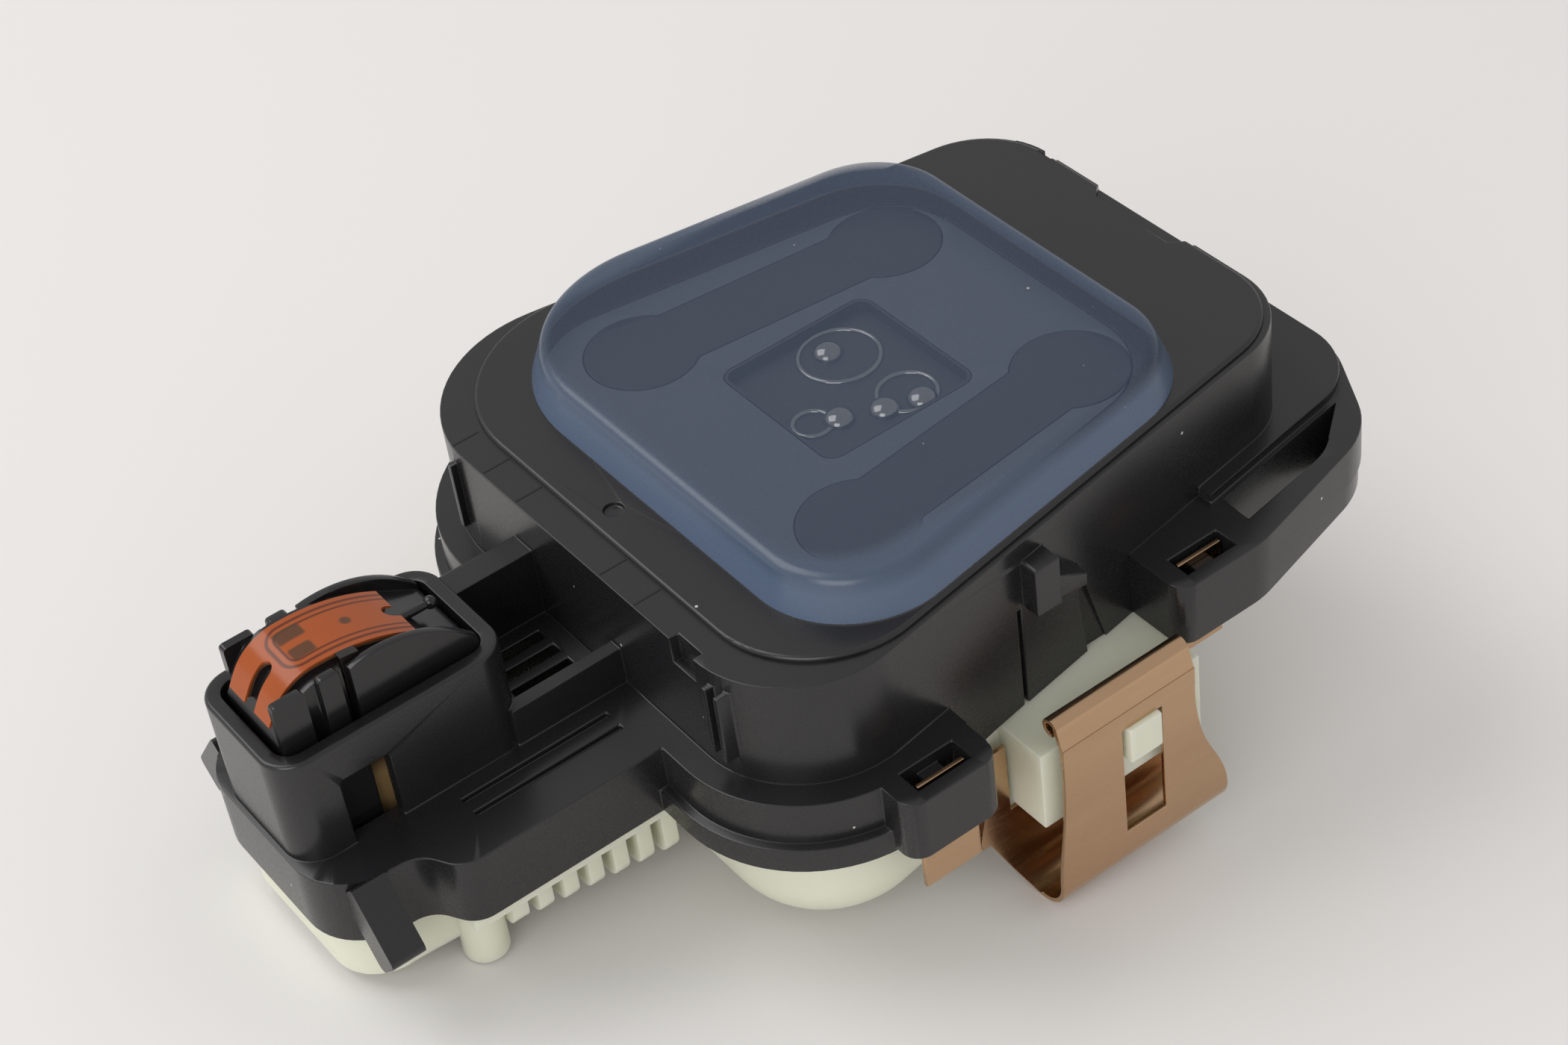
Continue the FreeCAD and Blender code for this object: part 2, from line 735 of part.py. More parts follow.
def block(name, x_span, y_span, z_span):
    """A plain block between pairs of limits."""
    item = doc.addObject("Part::Box", name)
    for side, (low, high) in zip(("Length", "Width", "Height"), (x_span, y_span, z_span)):
        item.setExpression(side, (dim(high) - dim(low)).formula)
    place(item, x_span[0], y_span[0], z_span[0])
    return item


def rod(name, x, y, radius, low, high):
    """A plain upright cylinder."""
    item = doc.addObject("Part::Cylinder", name)
    item.setExpression("Radius", dim(radius).formula)
    item.setExpression("Height", (dim(high) - dim(low)).formula)
    place(item, x, y, low)
    return item


def about(middle, length):
    """Limits of a run of a given length about its middle."""
    return dim(middle) - dim(length) / 2, dim(middle) + dim(length) / 2


def gather(label, items):
    """Several solids of one kind as one sub-part."""
    piece = doc.addObject("Part::Compound", label)
    piece.Links = items
    piece.Label = label
    return piece


def guide_ends(side):
    """Where one light guide's two lobes stand; side is -1 for the front and 1 for the rear."""
    return (("nose", -s.guide_nose_place, s.guide_nose_side * side),
            ("tail", s.guide_tail_place, s.guide_tail_side * side))


def add_peanut(body, name, kind, side, low, high, growth):
    """Two round lobes joined by a waist, added to a body or removed from it."""
    waist = s.guide_waist + growth
    (_, nose_x, nose_y), (_, tail_x, tail_y) = guide_ends(side)
    bar = [(nose_x, nose_y - waist), (tail_x, tail_y - waist), (tail_x, tail_y + waist), (nose_x, nose_y + waist)]
    make = pad if kind == "Additive" else pocket
    make(body, name + "_waist", bar, SHARP4, low, high)
    for end, x, y in guide_ends(side):
        cylinder(body, "%s_lobe_%s" % (name, end), kind, x, y, s.guide_radius + growth, low, high)


window_low = plateau - s.window_thick
board_top = -s.board_drop
board_low = board_top - s.board_thick
guide_low = board_top + s.led_height + s.led_air
lenses = (("sky", s.lens_sky_x, s.lens_sky_y, s.lens_sky_radius),
          ("ahead", s.lens_ahead_x, s.lens_ahead_y, s.lens_ahead_radius),
          ("side", s.lens_side_x, s.lens_side_y, s.lens_side_radius))


def make_optics():
    """Window plate with its cut-outs, and the light guides and lenses that fill them."""
    plate = new_body("window_plate")
    gap = s.fit_gap
    pad(plate, "window_sheet", trapezoid(s.window_reach - gap, s.window_reach - gap, s.window_half - gap),
        rounded4(s.window_radius - gap), window_low, plateau)
    reach, half = s.lens_window_reach, s.lens_window_half
    pocket(plate, "lens_opening", rectangle(-reach, reach, -half, half), rounded4(s.lens_window_radius),
           window_low, plateau)
    for side, label in ((-1, "ir_guide_front"), (1, "ir_guide_rear")):
        add_peanut(plate, "cut_" + label, "Subtractive", side, window_low, plateau, gap)
        guide = new_body(label)
        add_peanut(guide, label, "Additive", side, window_low, plateau, dim(0))
        for end, x, y in guide_ends(side):
            stem = guide.newObject("PartDesign::AdditiveCone", "%s_stem_%s" % (label, end))
            stem.setExpression("Radius1", (s.guide_waist * 0.7).formula)
            stem.setExpression("Radius2", (s.guide_radius * 0.72).formula)
            stem.setExpression("Height", (window_low - guide_low).formula)
            place(stem, x, y, guide_low)
    cluster = new_body("lens_cluster")
    pad(cluster, "lens_window", rectangle(gap - reach, reach - gap, gap - half, half - gap),
        rounded4(s.lens_window_radius), window_low, plateau)
    for name, x, y, radius in lenses:
        lens = cluster.newObject("PartDesign::AdditiveEllipsoid", "lens_" + name)
        lens.setExpression("Radius1", (s.window_thick * 0.8).formula)
        lens.setExpression("Radius2", radius.formula)
        lens.setExpression("Radius3", radius.formula)
        place(lens, x, y, window_low)


def make_board():
    """Circuit board inside the tower, with the parts that sit on its two faces."""
    board = new_body("circuit_board")
    inset = s.shell_wall + s.board_gap
    pad(board, "board_sheet", trapezoid(s.tower_nose - inset, s.tower_tail - inset, s.tower_half - inset),
        tower_radii(-inset), board_low, board_top)
    for label, end in (("ir_emitters", "nose"), ("ir_receivers", "tail")):
        items = []
        for side in (-1, 1):
            x, y = [spot[1:] for spot in guide_ends(side) if spot[0] == end][0]
            name = "%s_%d" % (label, side + 1)
            items.append(block(name + "_case", about(x, s.led_size), about(y, s.led_size),
                               (board_top, board_top + s.led_height * 0.7)))
            items.append(rod(name + "_dome", x, y, s.led_size * 0.36,
                             board_top + s.led_height * 0.7, board_top + s.led_height))
        gather(label, items)
    gather("light_sensors", [block("light_sensor_" + name, about(x, s.photo_chip), about(y, s.photo_chip),
                                   (board_top, board_top + s.photo_chip / 3)) for name, x, y, _ in lenses])
    make_underside()


def make_underside():
    """Chip, capacitors, regulator, socket and plug contacts on the board's underside."""
    chip_low = board_low - s.chip_height
    items = [block("chip_case", about(s.chip_place, s.chip_size), about(0, s.chip_size), (chip_low, board_low))]
    for index in range(int(s.lead_count.value)):
        along = s.lead_pitch * (index - (int(s.lead_count.value) - 1) / 2)
        for side in (-1, 1):
            face = s.chip_size / 2 * side
            end = (s.chip_size / 2 + s.lead_reach) * side
            near, far = (face, end) if side > 0 else (end, face)
            level = (board_low - s.lead_thick, board_low)
            items.append(block("lead_y_%d_%d" % (side + 1, index), about(s.chip_place + along, s.lead_width),
                               (near, far), level))
            items.append(block("lead_x_%d_%d" % (side + 1, index), (s.chip_place + near, s.chip_place + far),
                               about(along, s.lead_width), level))
    gather("control_chip", items)
    gather("board_capacitors", [rod("capacitor_%d" % (side + 1), s.capacitor_place, s.capacitor_side * side,
                                    s.capacitor_radius, board_low - s.capacitor_height, board_low)
                                for side in (-1, 1)])
    x, y = -s.regulator_place, s.regulator_side
    gather("supply_regulator",
           [block("regulator_case", about(x, s.regulator_size), about(y, s.regulator_size),
                  (board_low - s.regulator_height, board_low)),
            block("regulator_tab", (x - s.regulator_size / 2 - s.lead_reach * 2, x - s.regulator_size / 2),
                  about(y, s.regulator_size * 0.8), (board_low - s.lead_thick, board_low))])
    socket = new_body("flex_socket")
    x_low, x_high = -s.flex_socket_place, -s.flex_socket_place + s.flex_socket_length
    y = -s.tail_side
    pad(socket, "flex_socket_case", rectangle(x_low, x_high, y - s.flex_socket_half, y + s.flex_socket_half), SHARP4,
        board_low - s.flex_socket_height, board_low)
    pocket(socket, "flex_socket_slot", rectangle(x_low, x_low + s.flex_insert, y - s.flex_thick, y + s.flex_thick),
           SHARP4, board_low - s.flex_socket_height, board_low - s.lead_reach)
    gather("connector_pins", [block("pin_%d" % index, about(s.socket_place + s.pin_pitch * (index - 2), s.pin_width),
                                    about(0, s.pin_width), (socket_roof - s.pin_reach, board_low))
                              for index in (1, 2, 3)])


socket_roof = s.socket_depth - s.cover_drop
clip_low, clip_high = about(s.clip_place, s.clip_block_half * 2)


def make_rear_cover():
    """Milky back cover: tub under the tower, finned plate under the nose, clip blocks and plug socket."""
    body = new_body("rear_cover")
    low = -s.cover_drop
    inset = s.cover_inset
    tub = pad(body, "tub", trapezoid(s.tower_nose - inset, s.tower_tail - inset, s.tower_half - inset),
              tower_radii(-inset), low, cover_top)
    fillet(body, "tub_rounding", tub, s.cover_edge, at_level(low))
    add_nose_cover(body)
    for side in (-1, 1):
        name = "front" if side < 0 else "rear"
        near = s.tower_half - s.cover_edge
        spans = sorted(((near * side), (s.clip_block_reach * side)), key=lambda spot: spot.value)
        pad(body, "clip_block_" + name, rectangle(clip_low, clip_high, spans[0], spans[1]), SHARP4,
            -s.clip_block_drop, cover_top)
        hook_low, hook_high = about(s.clip_window_place, s.hook_width)
        spans = sorted(((s.clip_block_reach - s.cover_wall) * side, (s.clip_side + s.hook_reach) * side),
                       key=lambda spot: spot.value)
        pad(body, "clip_hook_" + name, rectangle(hook_low, hook_high, spans[0], spans[1]), SHARP4,
            -s.clip_window_top - s.hook_height, -s.clip_window_top)
    wall = s.cover_wall + inset
    for name, extra, depth in (("upper", dim(0), low + s.cover_edge),
                               ("lower", s.cover_edge / 2, low + s.cover_wall)):
        shrink = wall + extra
        pocket(body, name + "_hollow",
               trapezoid(s.tower_nose - shrink, s.tower_tail - shrink, s.tower_half - shrink), tower_radii(-shrink), depth, cover_top)
    floor = low + s.cover_wall
    for index, (x, y) in enumerate(((-s.post_nose, s.post_nose_side), (s.post_tail, s.post_tail_side))):
        for side in (-1, 1):
            cylinder(body, "board_post_%d_%d" % (index, side + 1), "Additive", x, y * side, s.post_radius,
                     floor - s.fit_gap, board_low)
    add_plug_socket(body)
    return body


def add_nose_cover(body):
    """Plate that closes the nose, its deeper tip, and the row of fins below it."""
    margin = s.nose_cover_margin
    plate_low = cover_top - s.nose_plate
    pad(body, "nose_cover_plate",
        rectangle(tip_end + margin, -s.tower_nose + s.shell_wall, margin - s.nose_half, s.nose_half - margin), SHARP4,
        plate_low, cover_top)
    tip_half = s.tip_half - margin
    pad(body, "tip_cover", rectangle(margin - s.nose_tip, tip_end + s.nose_plate, -tip_half, tip_half),
        [s.tip_radius - margin, None, None, s.tip_radius - margin], -s.tip_plate_drop, cover_top)
    wall = s.nose_plate
    pocket(body, "tip_hollow",
           rectangle(margin + wall - s.nose_tip, tip_end, wall - tip_half, tip_half - wall),
           rounded4(s.tip_radius - margin - wall), wall - s.tip_plate_drop, cover_top)
    steps = int(s.fin_count.value) - 1
    fin_half = s.nose_half - margin - s.fin_thick
    for index in range(steps + 1):
        drop = s.fin_drop_tip + (s.fin_drop_tower - s.fin_drop_tip) * (index / steps)
        x_low, x_high = about(s.fin_pitch * index - s.fin_start, s.fin_thick)
        pad(body, "fin_%d" % (index + 1), rectangle(-fin_half, fin_half, -drop, plate_low),
            [s.fin_thick, s.fin_thick, None, None], x_low, x_high, axis="X")
    for side in (-1, 1):
        cylinder(body, "nose_boss_%d" % (side + 1), "Additive", -s.boss_place, s.boss_side * side, s.boss_radius,
                 -s.boss_drop, cover_top)


def add_plug_socket(body):
    """Shroud for the vehicle's plug, open downwards, with holes for the contacts."""
    low = -s.cover_drop
    wall = s.cover_wall
    x_low, x_high = about(s.socket_place, s.socket_length)
    half = s.socket_width / 2
    pad(body, "socket_shroud", rectangle(x_low - wall, x_high + wall, -half - wall, half + wall), SHARP4,
        low + wall - s.fit_gap, socket_roof + wall)
    pocket(body, "socket_hollow", rectangle(x_low, x_high, -half, half), SHARP4, low, socket_roof)
    for index in (1, 2, 3):
        hole = s.pin_width + s.fit_gap
        pin_low, pin_high = about(s.socket_place + s.pin_pitch * (index - 2), hole)
        pocket(body, "pin_hole_%d" % index, rectangle(pin_low, pin_high, -hole / 2, hole / 2), SHARP4,
               socket_roof, socket_roof + wall)


def upright_sheet(x_span, line, half_thick):
    """Prism along X of one straight run of sheet, given its two ends in (y, z)."""
    (y0, z0), (y1, z1) = line
    length = math.hypot(y1 - y0, z1 - z0)
    across = Vector(0, -(z1 - z0) / length, (y1 - y0) / length) * half_thick
    start, end = Vector(x_span[0], y0, z0), Vector(x_span[0], y1, z1)
    corners = [start + across, end + across, end - across, start - across, start + across]
    return Part.Face(Part.makePolygon(corners)).extrude(Vector(x_span[1] - x_span[0], 0, 0))


def curved_sheet(x_span, centre, radius, turn, half_thick):
    """Prism along X of a bent run of sheet, from and to angles in degrees in the YZ plane."""
    def spot(reach, degrees):
        angle = math.radians(degrees)
        return Vector(x_span[0], centre[0] + reach * math.cos(angle), centre[1] + reach * math.sin(angle))
    start, end = turn
    middle = (start + end) / 2
    outer, inner = radius + half_thick, radius - half_thick
    edges = [Part.Arc(spot(outer, start), spot(outer, middle), spot(outer, end)).toShape(),
             Part.makeLine(spot(outer, end), spot(inner, end)),
             Part.Arc(spot(inner, end), spot(inner, middle), spot(inner, start)).toShape(),
             Part.makeLine(spot(inner, start), spot(outer, start))]
    return Part.Face(Part.Wire(edges)).extrude(Vector(x_span[1] - x_span[0], 0, 0))


def plan_sheet(points, z_span, half_thick):
    """Upright band of sheet that follows a line drawn from above."""
    runs = []
    for (x0, y0), (x1, y1) in zip(points, points[1:]):
        length = math.hypot(x1 - x0, y1 - y0)
        across = Vector(-(y1 - y0) / length, (x1 - x0) / length, 0) * half_thick
        along = Vector((x1 - x0) / length, (y1 - y0) / length, 0) * half_thick
        start, end = Vector(x0, y0, z_span[0]) - along, Vector(x1, y1, z_span[0]) + along
        corners = [start + across, end + across, end - across, start - across, start + across]
        runs.append(Part.Face(Part.makePolygon(corners)).extrude(Vector(0, 0, z_span[1] - z_span[0])))
    return runs


def window_block(x_span, y_span, z_span):
    """Plain block used to cut a window."""
    return Part.makeBox(x_span[1] - x_span[0], y_span[1] - y_span[0], z_span[1] - z_span[0],
                        Vector(x_span[0], y_span[0], z_span[0]))


def leaf_outline(v, wide, trough_z, outer):
    """Prism that trims the leaf: narrow at the rolled edge, flaring smoothly to the trough's width."""
    top_z, low_z = -v.clip_window_top, trough_z
    narrow = (v.leaf_top_place - v.leaf_top_half, v.leaf_top_place + v.leaf_top_half)

    def flare(start, end):
        """Smooth run of the leaf's edge from its narrow part down to its wide part."""
        shares = ((0.0, 0.0), (0.06, 0.25), (0.3, 0.5), (0.75, 0.75), (1.0, 1.0))
        points = [Vector(start + (end - start) * x, -outer - 3, top_z + (low_z - top_z) * z) for x, z in shares]
        curve = Part.BSplineCurve()
        curve.interpolate(points)
        return curve.toShape()

    def corner(x, z):
        return Vector(x, -outer - 3, z)
    edges = [Part.makeLine(corner(narrow[0], 0), corner(narrow[1], 0)),
             Part.makeLine(corner(narrow[1], 0), corner(narrow[1], top_z)), flare(narrow[1], wide[1]),
             Part.makeLine(corner(wide[1], low_z), corner(wide[1], -v.clip_bottom)),
             Part.makeLine(corner(wide[1], -v.clip_bottom), corner(wide[0], -v.clip_bottom)),
             Part.makeLine(corner(wide[0], -v.clip_bottom), corner(wide[0], low_z)), flare(narrow[0], wide[0]),
             Part.makeLine(corner(narrow[0], top_z), corner(narrow[0], 0))]
    return Part.Face(Part.Wire(Part.sortEdges(edges)[0])).extrude(Vector(0, 6, 0))


def leg_trim(x_span, z_span, y_span):
    """Prism that cuts the inner leg's nose edge to a line rising from the trough to the arm."""
    (near, far), (low, high) = x_span, z_span
    spots = ((far - 1, low - 1), (near, low - 1), (near, low), (far, high), (far - 1, high), (far - 1, low - 1))
    face = Part.Face(Part.makePolygon([Vector(x, y_span[0], z) for x, z in spots]))
    return face.extrude(Vector(0, y_span[1] - y_span[0], 0))


def make_clip_shape():
    """Front spring clip: rolled edge, windowed leaf, trough, inner leg and the two arms with their tabs."""
    v = SimpleNamespace(**{alias: size.value for alias, size in vars(s).items()})
    half = v.sheet_thick / 2
    outer = v.clip_side
    inner = v.tail_ear_side + v.slot_width / 2 - v.peg_grip
    tab_side = v.nose_ear_side - v.slot_width / 2 + v.peg_grip
    trough = (outer - inner) / 2
    trough_z = trough + half - v.clip_bottom
    wide = (v.leaf_low_place - v.leaf_low_half, v.leaf_low_place + v.leaf_low_half)
    roll_y, roll_z = outer - v.clip_roll_inset, -v.clip_roll_drop
    roll = v.clip_roll - half
    leaf = [curved_sheet(wide, (-roll_y, roll_z), roll, (180, -110), half),
            upright_sheet(wide, ((-roll_y - roll, roll_z), (-outer, -v.clip_shoulder)), half),
            upright_sheet(wide, ((-outer, -v.clip_shoulder + half), (-outer, trough_z)), half)]
    leaf = leaf[0].multiFuse(leaf[1:])
    leaf = leaf.common(leaf_outline(v, wide, trough_z, outer))
    window = (v.clip_window_place - v.clip_window_half, v.clip_window_place + v.clip_window_half)
    leaf = leaf.cut(window_block(window, (-outer - 1, -outer + 1), (-v.clip_window_low, -v.clip_window_top)))
    low, high = clip_low.value - v.arm_air, clip_high.value + v.arm_air
    shelf = -v.clip_block_drop - v.arm_air
    arm_nose, arm_tail = (low - v.arm_width, low), (high, high + v.arm_width / 2)
    reach = v.tab_width / 2
    tail_tab = (v.tail_ear_place - reach, v.tail_ear_place + reach)
    nose_tab = (-v.nose_ear_place - reach, -v.nose_ear_place + reach)
    tab_top = -v.ledge_drop - v.peg_drop + v.tab_bar
    band_top = cover_top.value - v.arm_air * 3
    middle = -(outer + inner) / 2
    leg_span = (arm_nose[0], wide[1])
    leg = curved_sheet(leg_span, (middle, trough_z), trough, (270, 360), half)
    leg = leg.fuse(upright_sheet(leg_span, ((-inner, trough_z), (-inner, shelf)), half))
    leg = leg.cut(leg_trim((wide[0], arm_nose[0]), (-v.clip_bottom, shelf - v.arm_air * 2), (middle - 1, 1 - inner)))
    runs = [curved_sheet(wide, (middle, trough_z), trough, (180, 270), half), leg,
            upright_sheet((arm_nose[0], arm_tail[1]), ((-inner, shelf - 2.2), (-inner, shelf)), half),
            upright_sheet(arm_nose, ((-inner, shelf - 2.2), (-inner, band_top)), half),
            upright_sheet(arm_tail, ((-inner, shelf - 2.2), (-inner, band_top)), half),
            upright_sheet((arm_tail[0], tail_tab[1]), ((-inner, -v.tail_ear_drop), (-inner, band_top)), half),
            upright_sheet(tail_tab, ((-inner, -v.tail_ear_drop), (-inner, tab_top)), half),
            upright_sheet(nose_tab, ((-tab_side, -v.tail_drop), (-tab_side, tab_top)), half)]
    bend = [(arm_nose[0] + v.arm_width / 3, -inner), (nose_tab[1] + 0.4, -tab_side), (nose_tab[0], -tab_side)]
    runs += plan_sheet(bend, (-v.tail_drop, band_top), half)
    shape = leaf.multiFuse(runs)
    for place_x, side in ((v.tail_ear_place, inner), (-v.nose_ear_place, tab_side)):
        peg_half = v.peg_length / 2 + v.peg_air
        shape = shape.cut(window_block((place_x - peg_half, place_x + peg_half), (-side - 0.5, -side + 0.5),
                                       (-v.ledge_drop - v.peg_drop - v.peg_height - v.peg_air * 2,
                                        -v.ledge_drop - v.peg_drop)))
    return shape.removeSplitter()


def make_clips():
    """The front spring clip and its mirror image at the rear."""
    front = make_clip_shape()
    solid_piece("spring_clip_front", front)
    solid_piece("spring_clip_rear", front.mirror(Vector(0, 0, 0), Vector(0, 1, 0)))


carrier_low = shaft_tip + s.carrier_gap
carrier_high = shaft_tail - s.carrier_gap
carrier_half = shaft_half - s.carrier_gap
core_half = carrier_half - s.fin_wall
foot_top = cavity_top - s.foot_play
foot_low = foot_top - s.carrier_foot
shaft_middle = (shaft_tip + shaft_tail) / 2
crown_place = shaft_middle - s.film_shift
lead_place = shaft_middle - s.lead_shift
layers = s.flex_thick + s.cushion_thick


def tangent(bend):
    """Slope of a flank that falls away at an angle."""
    return math.tan(math.radians(bend.value))


def half_tangent(bend):
    """Share of a bend's radius that its tangents take up on each side of the corner."""
    return math.tan(math.radians(bend.value / 2))


def core_profile(low):
    """Side view of the carrier's core: a flat crown between two bends of different radius."""
    crown = s.film_crown - layers
    left_x = crown_place - s.crown_flat / 2 - (s.film_left_radius - layers) * half_tangent(s.film_left_bend)
    right_x = crown_place + s.crown_flat / 2 + (s.film_right_radius - layers) * half_tangent(s.film_right_bend)
    left_end = crown - (left_x - carrier_low) * tangent(s.film_left_bend)
    right_end = crown - (carrier_high - right_x) * tangent(s.film_right_bend)
    corners = [(carrier_low, low), (carrier_high, low), (carrier_high, right_end), (right_x, crown), (left_x, crown),
               (carrier_low, left_end)]
    return corners, [None, None, None, s.film_right_radius - layers, s.film_left_radius - layers, None]


def fin_profile(low, drop):
    """Side view of a side fin: a rounded ridge with evenly falling flanks, lowered by drop."""
    middle = shaft_middle + s.fin_shift
    slope = tangent(s.fin_slope)
    rise = s.fin_radius * (math.hypot(1, slope) - 1)
    ridge = s.fin_crown + rise - drop
    corners = [(carrier_low, low), (carrier_high, low), (carrier_high, ridge - (carrier_high - middle) * slope),
               (middle, ridge), (carrier_low, ridge - (middle - carrier_low) * slope)]
    return corners, [None, None, None, s.fin_radius, None]


def make_carrier():
    """Plunger that carries the condensation sensor: block, arched core and side fins, foot and spring well."""
    body = new_body("sensor_carrier")
    deck = -s.carrier_deck
    pad(body, "carrier_block", rectangle(carrier_low, carrier_high, -carrier_half, carrier_half),
        rounded4(s.box_radius - s.box_wall), foot_low, deck)
    corners, radii = core_profile(deck - s.fit_gap)
    pad(body, "carrier_core", corners, radii, -core_half, core_half, axis="Y")
    for name, low, drop in (("front", -carrier_half, dim(0)), ("rear", core_half, s.rear_drop)):
        corners, radii = fin_profile(deck - s.fit_gap, drop)
        pad(body, "carrier_fin_" + name, corners, radii, low, low + s.fin_wall, axis="Y")
    add_fingers(body, deck)
    slot_low, slot_high = about(lead_place, s.tail_width + s.carrier_gap)
    slot_in = s.flex_thick - s.tail_side + s.foot_play
    over = s.film_crown + s.pad_edge
    pocket(body, "lead_slot_low", rectangle(slot_low, slot_high, -carrier_half, slot_in), SHARP4, foot_low, deck)
    pocket(body, "lead_channel", rectangle(slot_low, slot_high, -core_half, slot_in), SHARP4, deck, over)
    pocket(body, "lead_relief", rectangle(slot_low, carrier_high, -carrier_half, slot_in), SHARP4,
           foot_low, foot_low + s.travel + s.foot_play * 8)
    wing_side = shaft_half + s.carrier_wing
    pad(body, "foot_rear", rectangle(carrier_low + s.box_radius, carrier_high - s.box_radius, core_half, wing_side),
        SHARP4, foot_low, foot_top)
    pad(body, "foot_front", rectangle(carrier_low + s.carrier_gap, slot_low - s.carrier_gap, -wing_side, -core_half),
        SHARP4, foot_low, foot_top)
    cylinder(body, "spring_well", "Subtractive", shaft_middle, dim(0), s.well_radius, foot_low, -s.well_top)
    return body


def add_fingers(body, deck):
    """A wide and a narrow finger along each edge of the film, in place of the fins' tip ends."""
    over = s.film_crown + s.pad_edge
    narrow = carrier_low + s.finger_wide + s.finger_gap
    panel = narrow + s.finger_narrow + s.finger_slot
    rounding = [None, None, s.finger_round, s.finger_round]
    for side, y_low, shift, drop in (("front", -carrier_half, dim(0), dim(0)),
                                     ("rear", core_half, s.rear_shift, s.rear_drop)):
        y_high = y_low + s.fin_wall
        pocket(body, "finger_room_" + side, rectangle(carrier_low, panel + shift, y_low, y_high), SHARP4,
               deck, over)
        fingers = (("wide", carrier_low + shift, s.finger_wide, s.finger_top - drop),
                   ("narrow", narrow + shift, s.finger_narrow, s.finger_top + s.finger_rise - drop))
        for kind, low, width, top in fingers:
            pad(body, "finger_%s_%s" % (kind, side), rectangle(low, low + width, deck - s.fit_gap, top), rounding,
                y_low, y_high, axis="Y")


def film_strip(depth, thick, trim, y_span):
    """Bent strip over the carrier, at a depth below the film's outer face, cut back at both ends by trim."""
    crown_x, crown_z = crown_place.value, s.film_crown.value - depth
    flat = s.crown_flat.value / 2
    runs = []
    ends = ((-1, s.film_left_radius.value, s.film_left_bend.value, s.film_straight.value),
            (1, s.film_right_radius.value, s.film_right_bend.value, s.film_straight.value / 4))
    for side, radius, degrees, straight in ends:
        outer, inner = radius - depth, radius - depth - thick
        centre = Vector(crown_x + side * flat, y_span[0], crown_z - outer)
        length = straight - trim

        def spot(reach, turn, run=0.0):
            angle = math.radians(turn)
            return centre + Vector(side * (reach * math.sin(angle) + run * math.cos(angle)), 0,
                                   reach * math.cos(angle) - run * math.sin(angle))
        edges = [Part.Arc(spot(outer, 0), spot(outer, degrees / 2), spot(outer, degrees)).toShape(),
                 Part.makeLine(spot(outer, degrees), spot(outer, degrees, length)),
                 Part.makeLine(spot(outer, degrees, length), spot(inner, degrees, length)),
                 Part.makeLine(spot(inner, degrees, length), spot(inner, degrees)),
                 Part.Arc(spot(inner, degrees), spot(inner, degrees / 2), spot(inner, 0)).toShape(),
                 Part.makeLine(spot(inner, 0), spot(outer, 0))]
        runs.append(Part.Face(Part.Wire(edges)).extrude(Vector(0, y_span[1] - y_span[0], 0)))
    bridge = window_block((crown_x - flat, crown_x + flat), y_span, (crown_z - thick, crown_z))
    return runs[0].multiFuse([runs[1], bridge]).removeSplitter()


def end_slot(middle, end, half):
    """Block with a round inner end that cuts a slot from an end of the film; end is -1 or 1."""
    low, high = sorted((middle, middle + end * 6))
    slot = Part.makeCylinder(half, 8, Vector(middle, 0, -6))
    return slot.fuse(window_block((low, high), (-half, half), (-6, 2)))


def make_film():
    """Sensor film bent over the carrier, the foam below it, the chip in the foam, and the film's lead."""
    v = SimpleNamespace(**{alias: size.value for alias, size in vars(s).items()})
    x0, crown = crown_place.value, v.film_crown
    film = film_strip(0.0, v.flex_thick, 0.0, (-v.flex_half, v.flex_half))
    margin = v.cushion_margin
    foam = film_strip(v.flex_thick, v.cushion_thick, v.film_straight / 4 - margin / 4,
                      (margin - v.flex_half, v.flex_half - margin))
    for end, middle in ((-1, x0 - v.film_cut_left), (1, x0 + v.film_cut_right)):
        film = film.cut(end_slot(middle, end, v.film_cut_half))
        foam = foam.cut(end_slot(middle, end, v.film_cut_half + margin))
    solid_piece("humidity_flex", film)
    chip_half = v.chip_film / 2
    chip_room = chip_half + v.cushion_margin
    foam = foam.cut(window_block((x0 - chip_room, x0 + chip_room), (-chip_room, chip_room), (-2, 2)))
    solid_piece("flex_cushion", foam)
    chip_low = s.film_crown - layers
    block("humidity_chip", about(crown_place, s.chip_film), about(0, s.chip_film),
          (chip_low, chip_low + s.cushion_thick * 0.75))
    tail_x = (lead_place.value - v.tail_width / 2, lead_place.value + v.tail_width / 2)
    sheet_y = (-v.tail_side - v.flex_thick / 2, -v.tail_side + v.flex_thick / 2)
    ribbon_low = cover_top.value + v.ribbon_lift
    ribbon_high = ribbon_low + v.ribbon_width
    ribbon = window_block((tail_x[0], -v.flex_socket_place + v.flex_insert), sheet_y, (ribbon_low, ribbon_high))
    drop = window_block(tail_x, sheet_y, (ribbon_low, crown - v.carrier_foot))
    level = (crown - v.carrier_foot, crown)
    beside = window_block(tail_x, (sheet_y[0], -v.flex_half), level)
    shoulder = film_strip(0.0, v.flex_thick, 0.0, (sheet_y[0], -v.flex_half)).common(beside)
    under = film_strip(v.flex_thick, v.film_left_radius / 2, 0.0, sheet_y)
    top = window_block(tail_x, sheet_y, level).common(under)
    solid_piece("flex_tail", drop.multiFuse([top, shoulder, ribbon]).removeSplitter())


def make_spring():
    """Coil spring between the nose plate and the top of the plunger's well."""
    wire = s.spring_wire.value / 2
    low = cover_top.value + wire
    height = -s.well_top.value - wire - low
    radius = s.spring_radius.value
    helix = Part.makeHelix(height / s.spring_turns.value, height, radius)
    section = Part.Wire(Part.makeCircle(wire, Vector(radius, 0, 0), Vector(0, 1, 0)))
    coil = Part.Wire(helix).makePipeShell([section], True, True)
    coil.translate(Vector(shaft_middle.value, 0, low))
    solid_piece("carrier_spring", coil)


